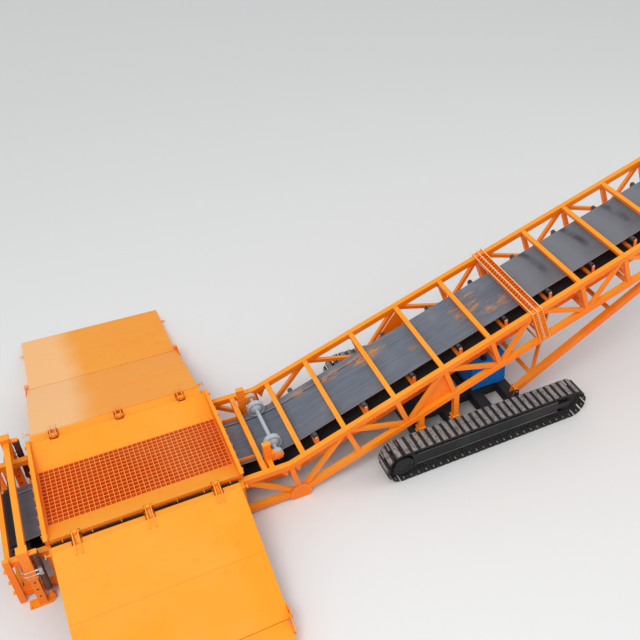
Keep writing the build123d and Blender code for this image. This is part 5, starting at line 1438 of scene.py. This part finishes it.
def make_hood_ribs():
    """Ribs and a rim on the head cheeks, ribs on the hood's front, and a row of bolts on its top."""
    hood = Piece("hood_ribs")
    for side in SIDES:
        face, out = side * HOOD_Y[0], side * HOOD_Y[1]
        for step, bottom in HOOD_RIBS:
            along = HEAD_PULLEY + step
            low = (along - RIB_HALF, face, bottom)
            hood.block(INCLINE, low, (along + RIB_HALF, out, HOOD_TOP - 0.005))
        hood.block(INCLINE, (HOOD_START, face, HOOD_TOP - 0.010), (HOOD_END, out, HOOD_TOP))
    for across in (-0.500, 0.000, 0.500):
        low = (HOOD_END + 0.0005, across - RIB_HALF, -0.870)
        hood.block(INCLINE, low, (HOOD_END + 0.022, across + RIB_HALF, -0.070))
    for across in spread(-0.680, 0.680, 9):
        hood.bolt(INCLINE, (HOOD_END - 0.100, across, HOOD_TOP + 0.0002), (0, 0, 1), 0.011, 1)
    hood.done("machine", "orange_steel", (FINISHES["orange_steel"], BOLT_ZINC))


def make_pulley_ends():
    """Lagging ring, hub ring and bolts at both ends of each pulley."""
    for place_frame, along, _, body in PULLEYS:
        ends = Piece(f"{body}_ends")
        for side in SIDES:
            face = side * PULLEY_END
            start = (along, face, PULLEY_Z)
            ends.ring(place_frame, start, (along, face + side * 0.012, PULLEY_Z), 0.200, 0.150)
            ends.ring(place_frame, start, (along, face + side * 0.022, PULLEY_Z), 0.085, 0.0455)
            ends.bolt_circle(place_frame, start, side, PULLEY_BOLTS, 8, 0.011, 1)
        ends.done(body, "roller_steel", (FINISHES["roller_steel"], RUSTY_BOLT))


make_bearing_caps()
make_drive_details()
make_hood_ribs()
make_pulley_ends()


# Tail frame lugs, the bolts of the legs and the chassis plates

LUG_Y = (1.245, 1.315)
LUG_HEIGHTS = (0.280, 0.560, 0.840)
LEGS = (2.773, 3.573)
LEG_PLATE = 0.6185
LEG_BOLT = 0.077
BEAMS = (2.773, 3.573, 4.380, 5.070)
BEAM_PLATE_Y = (1.300, 1.385)
BEAM_PLATE_HALF = 0.150
BEAM_PLATES = ((0.338, 0.3495), (0.6005, 0.612))


def make_frame_trim():
    """Lugs up the tail frame, and the bolts that hold the legs under the truss."""
    trim = Piece("frame_trim")
    for side in SIDES:
        for height in LUG_HEIGHTS:
            low = (-4.940, side * LUG_Y[0], height)
            trim.block(FLOOR, low, (-4.9005, side * LUG_Y[1], height + 0.012))
        for leg in LEGS:
            for step_x in (-LEG_BOLT, LEG_BOLT):
                for step_y in (-LEG_BOLT, LEG_BOLT):
                    place = (leg + step_x, side * TRUSS_HALF + step_y, LEG_PLATE)
                    trim.bolt(FLOOR, place, (0, 0, 1), 0.014, 1)
    trim.done("machine", "orange_steel", (FINISHES["orange_steel"], BOLT_ZINC))


def make_chassis_trim():
    """Bolted plates at the ends of the chassis beams, below and above."""
    chassis = Piece("chassis_trim")
    for beam in BEAMS:
        for side in SIDES:
            for low_z, high_z in BEAM_PLATES:
                low = (beam - BEAM_PLATE_HALF, side * BEAM_PLATE_Y[0], low_z)
                chassis.block(FLOOR, low, (beam + BEAM_PLATE_HALF, side * BEAM_PLATE_Y[1], high_z))
            for step in (-0.110, 0.110):
                chassis.bolt(FLOOR, (beam + step, side * 1.342, BEAM_PLATES[1][1]), (0, 0, 1), 0.016, 1)
    chassis.done("machine", "black_steel", (FINISHES["black_steel"], RUSTY_BOLT), soft=0.001)


make_frame_trim()
make_chassis_trim()


# Stage: pale floor, a bright even sky and two large soft lamps

FLOOR_COLOUR = (0.80, 0.80, 0.785)
SKY_COLOUR = (0.96, 0.975, 1, 1)
SKY_STRENGTH = 0.72
LAMP_AIM = Vector((-3, 0, 1))
LAMP_SIZE = 12
LAMPS = (("key", (-14, -16, 24), 3400), ("fill", (18, -6, 18), 900))


def make_stage():
    bpy.ops.mesh.primitive_plane_add(size=160)
    floor = bpy.context.object
    floor.name = "floor"
    ground = Finish("floor", rough=0.9)
    floor.data.materials.append(ground.colour(FLOOR_COLOUR))
    world = bpy.data.worlds.new("studio")
    bpy.context.scene.world = world
    world.use_nodes = True
    sky = world.node_tree.nodes["Background"]
    sky.inputs["Color"].default_value = SKY_COLOUR
    sky.inputs["Strength"].default_value = SKY_STRENGTH
    for name, place, power in LAMPS:
        lamp = bpy.data.lights.new(name, "AREA")
        lamp.size = LAMP_SIZE
        lamp.energy = power
        holder = bpy.data.objects.new(name, lamp)
        holder.location = place
        holder.rotation_mode = "QUATERNION"
        holder.rotation_quaternion = (LAMP_AIM - Vector(place)).to_track_quat("-Z", "Y")
        bpy.context.scene.collection.objects.link(holder)
    bpy.context.scene.view_settings.view_transform = "Standard"


make_stage()
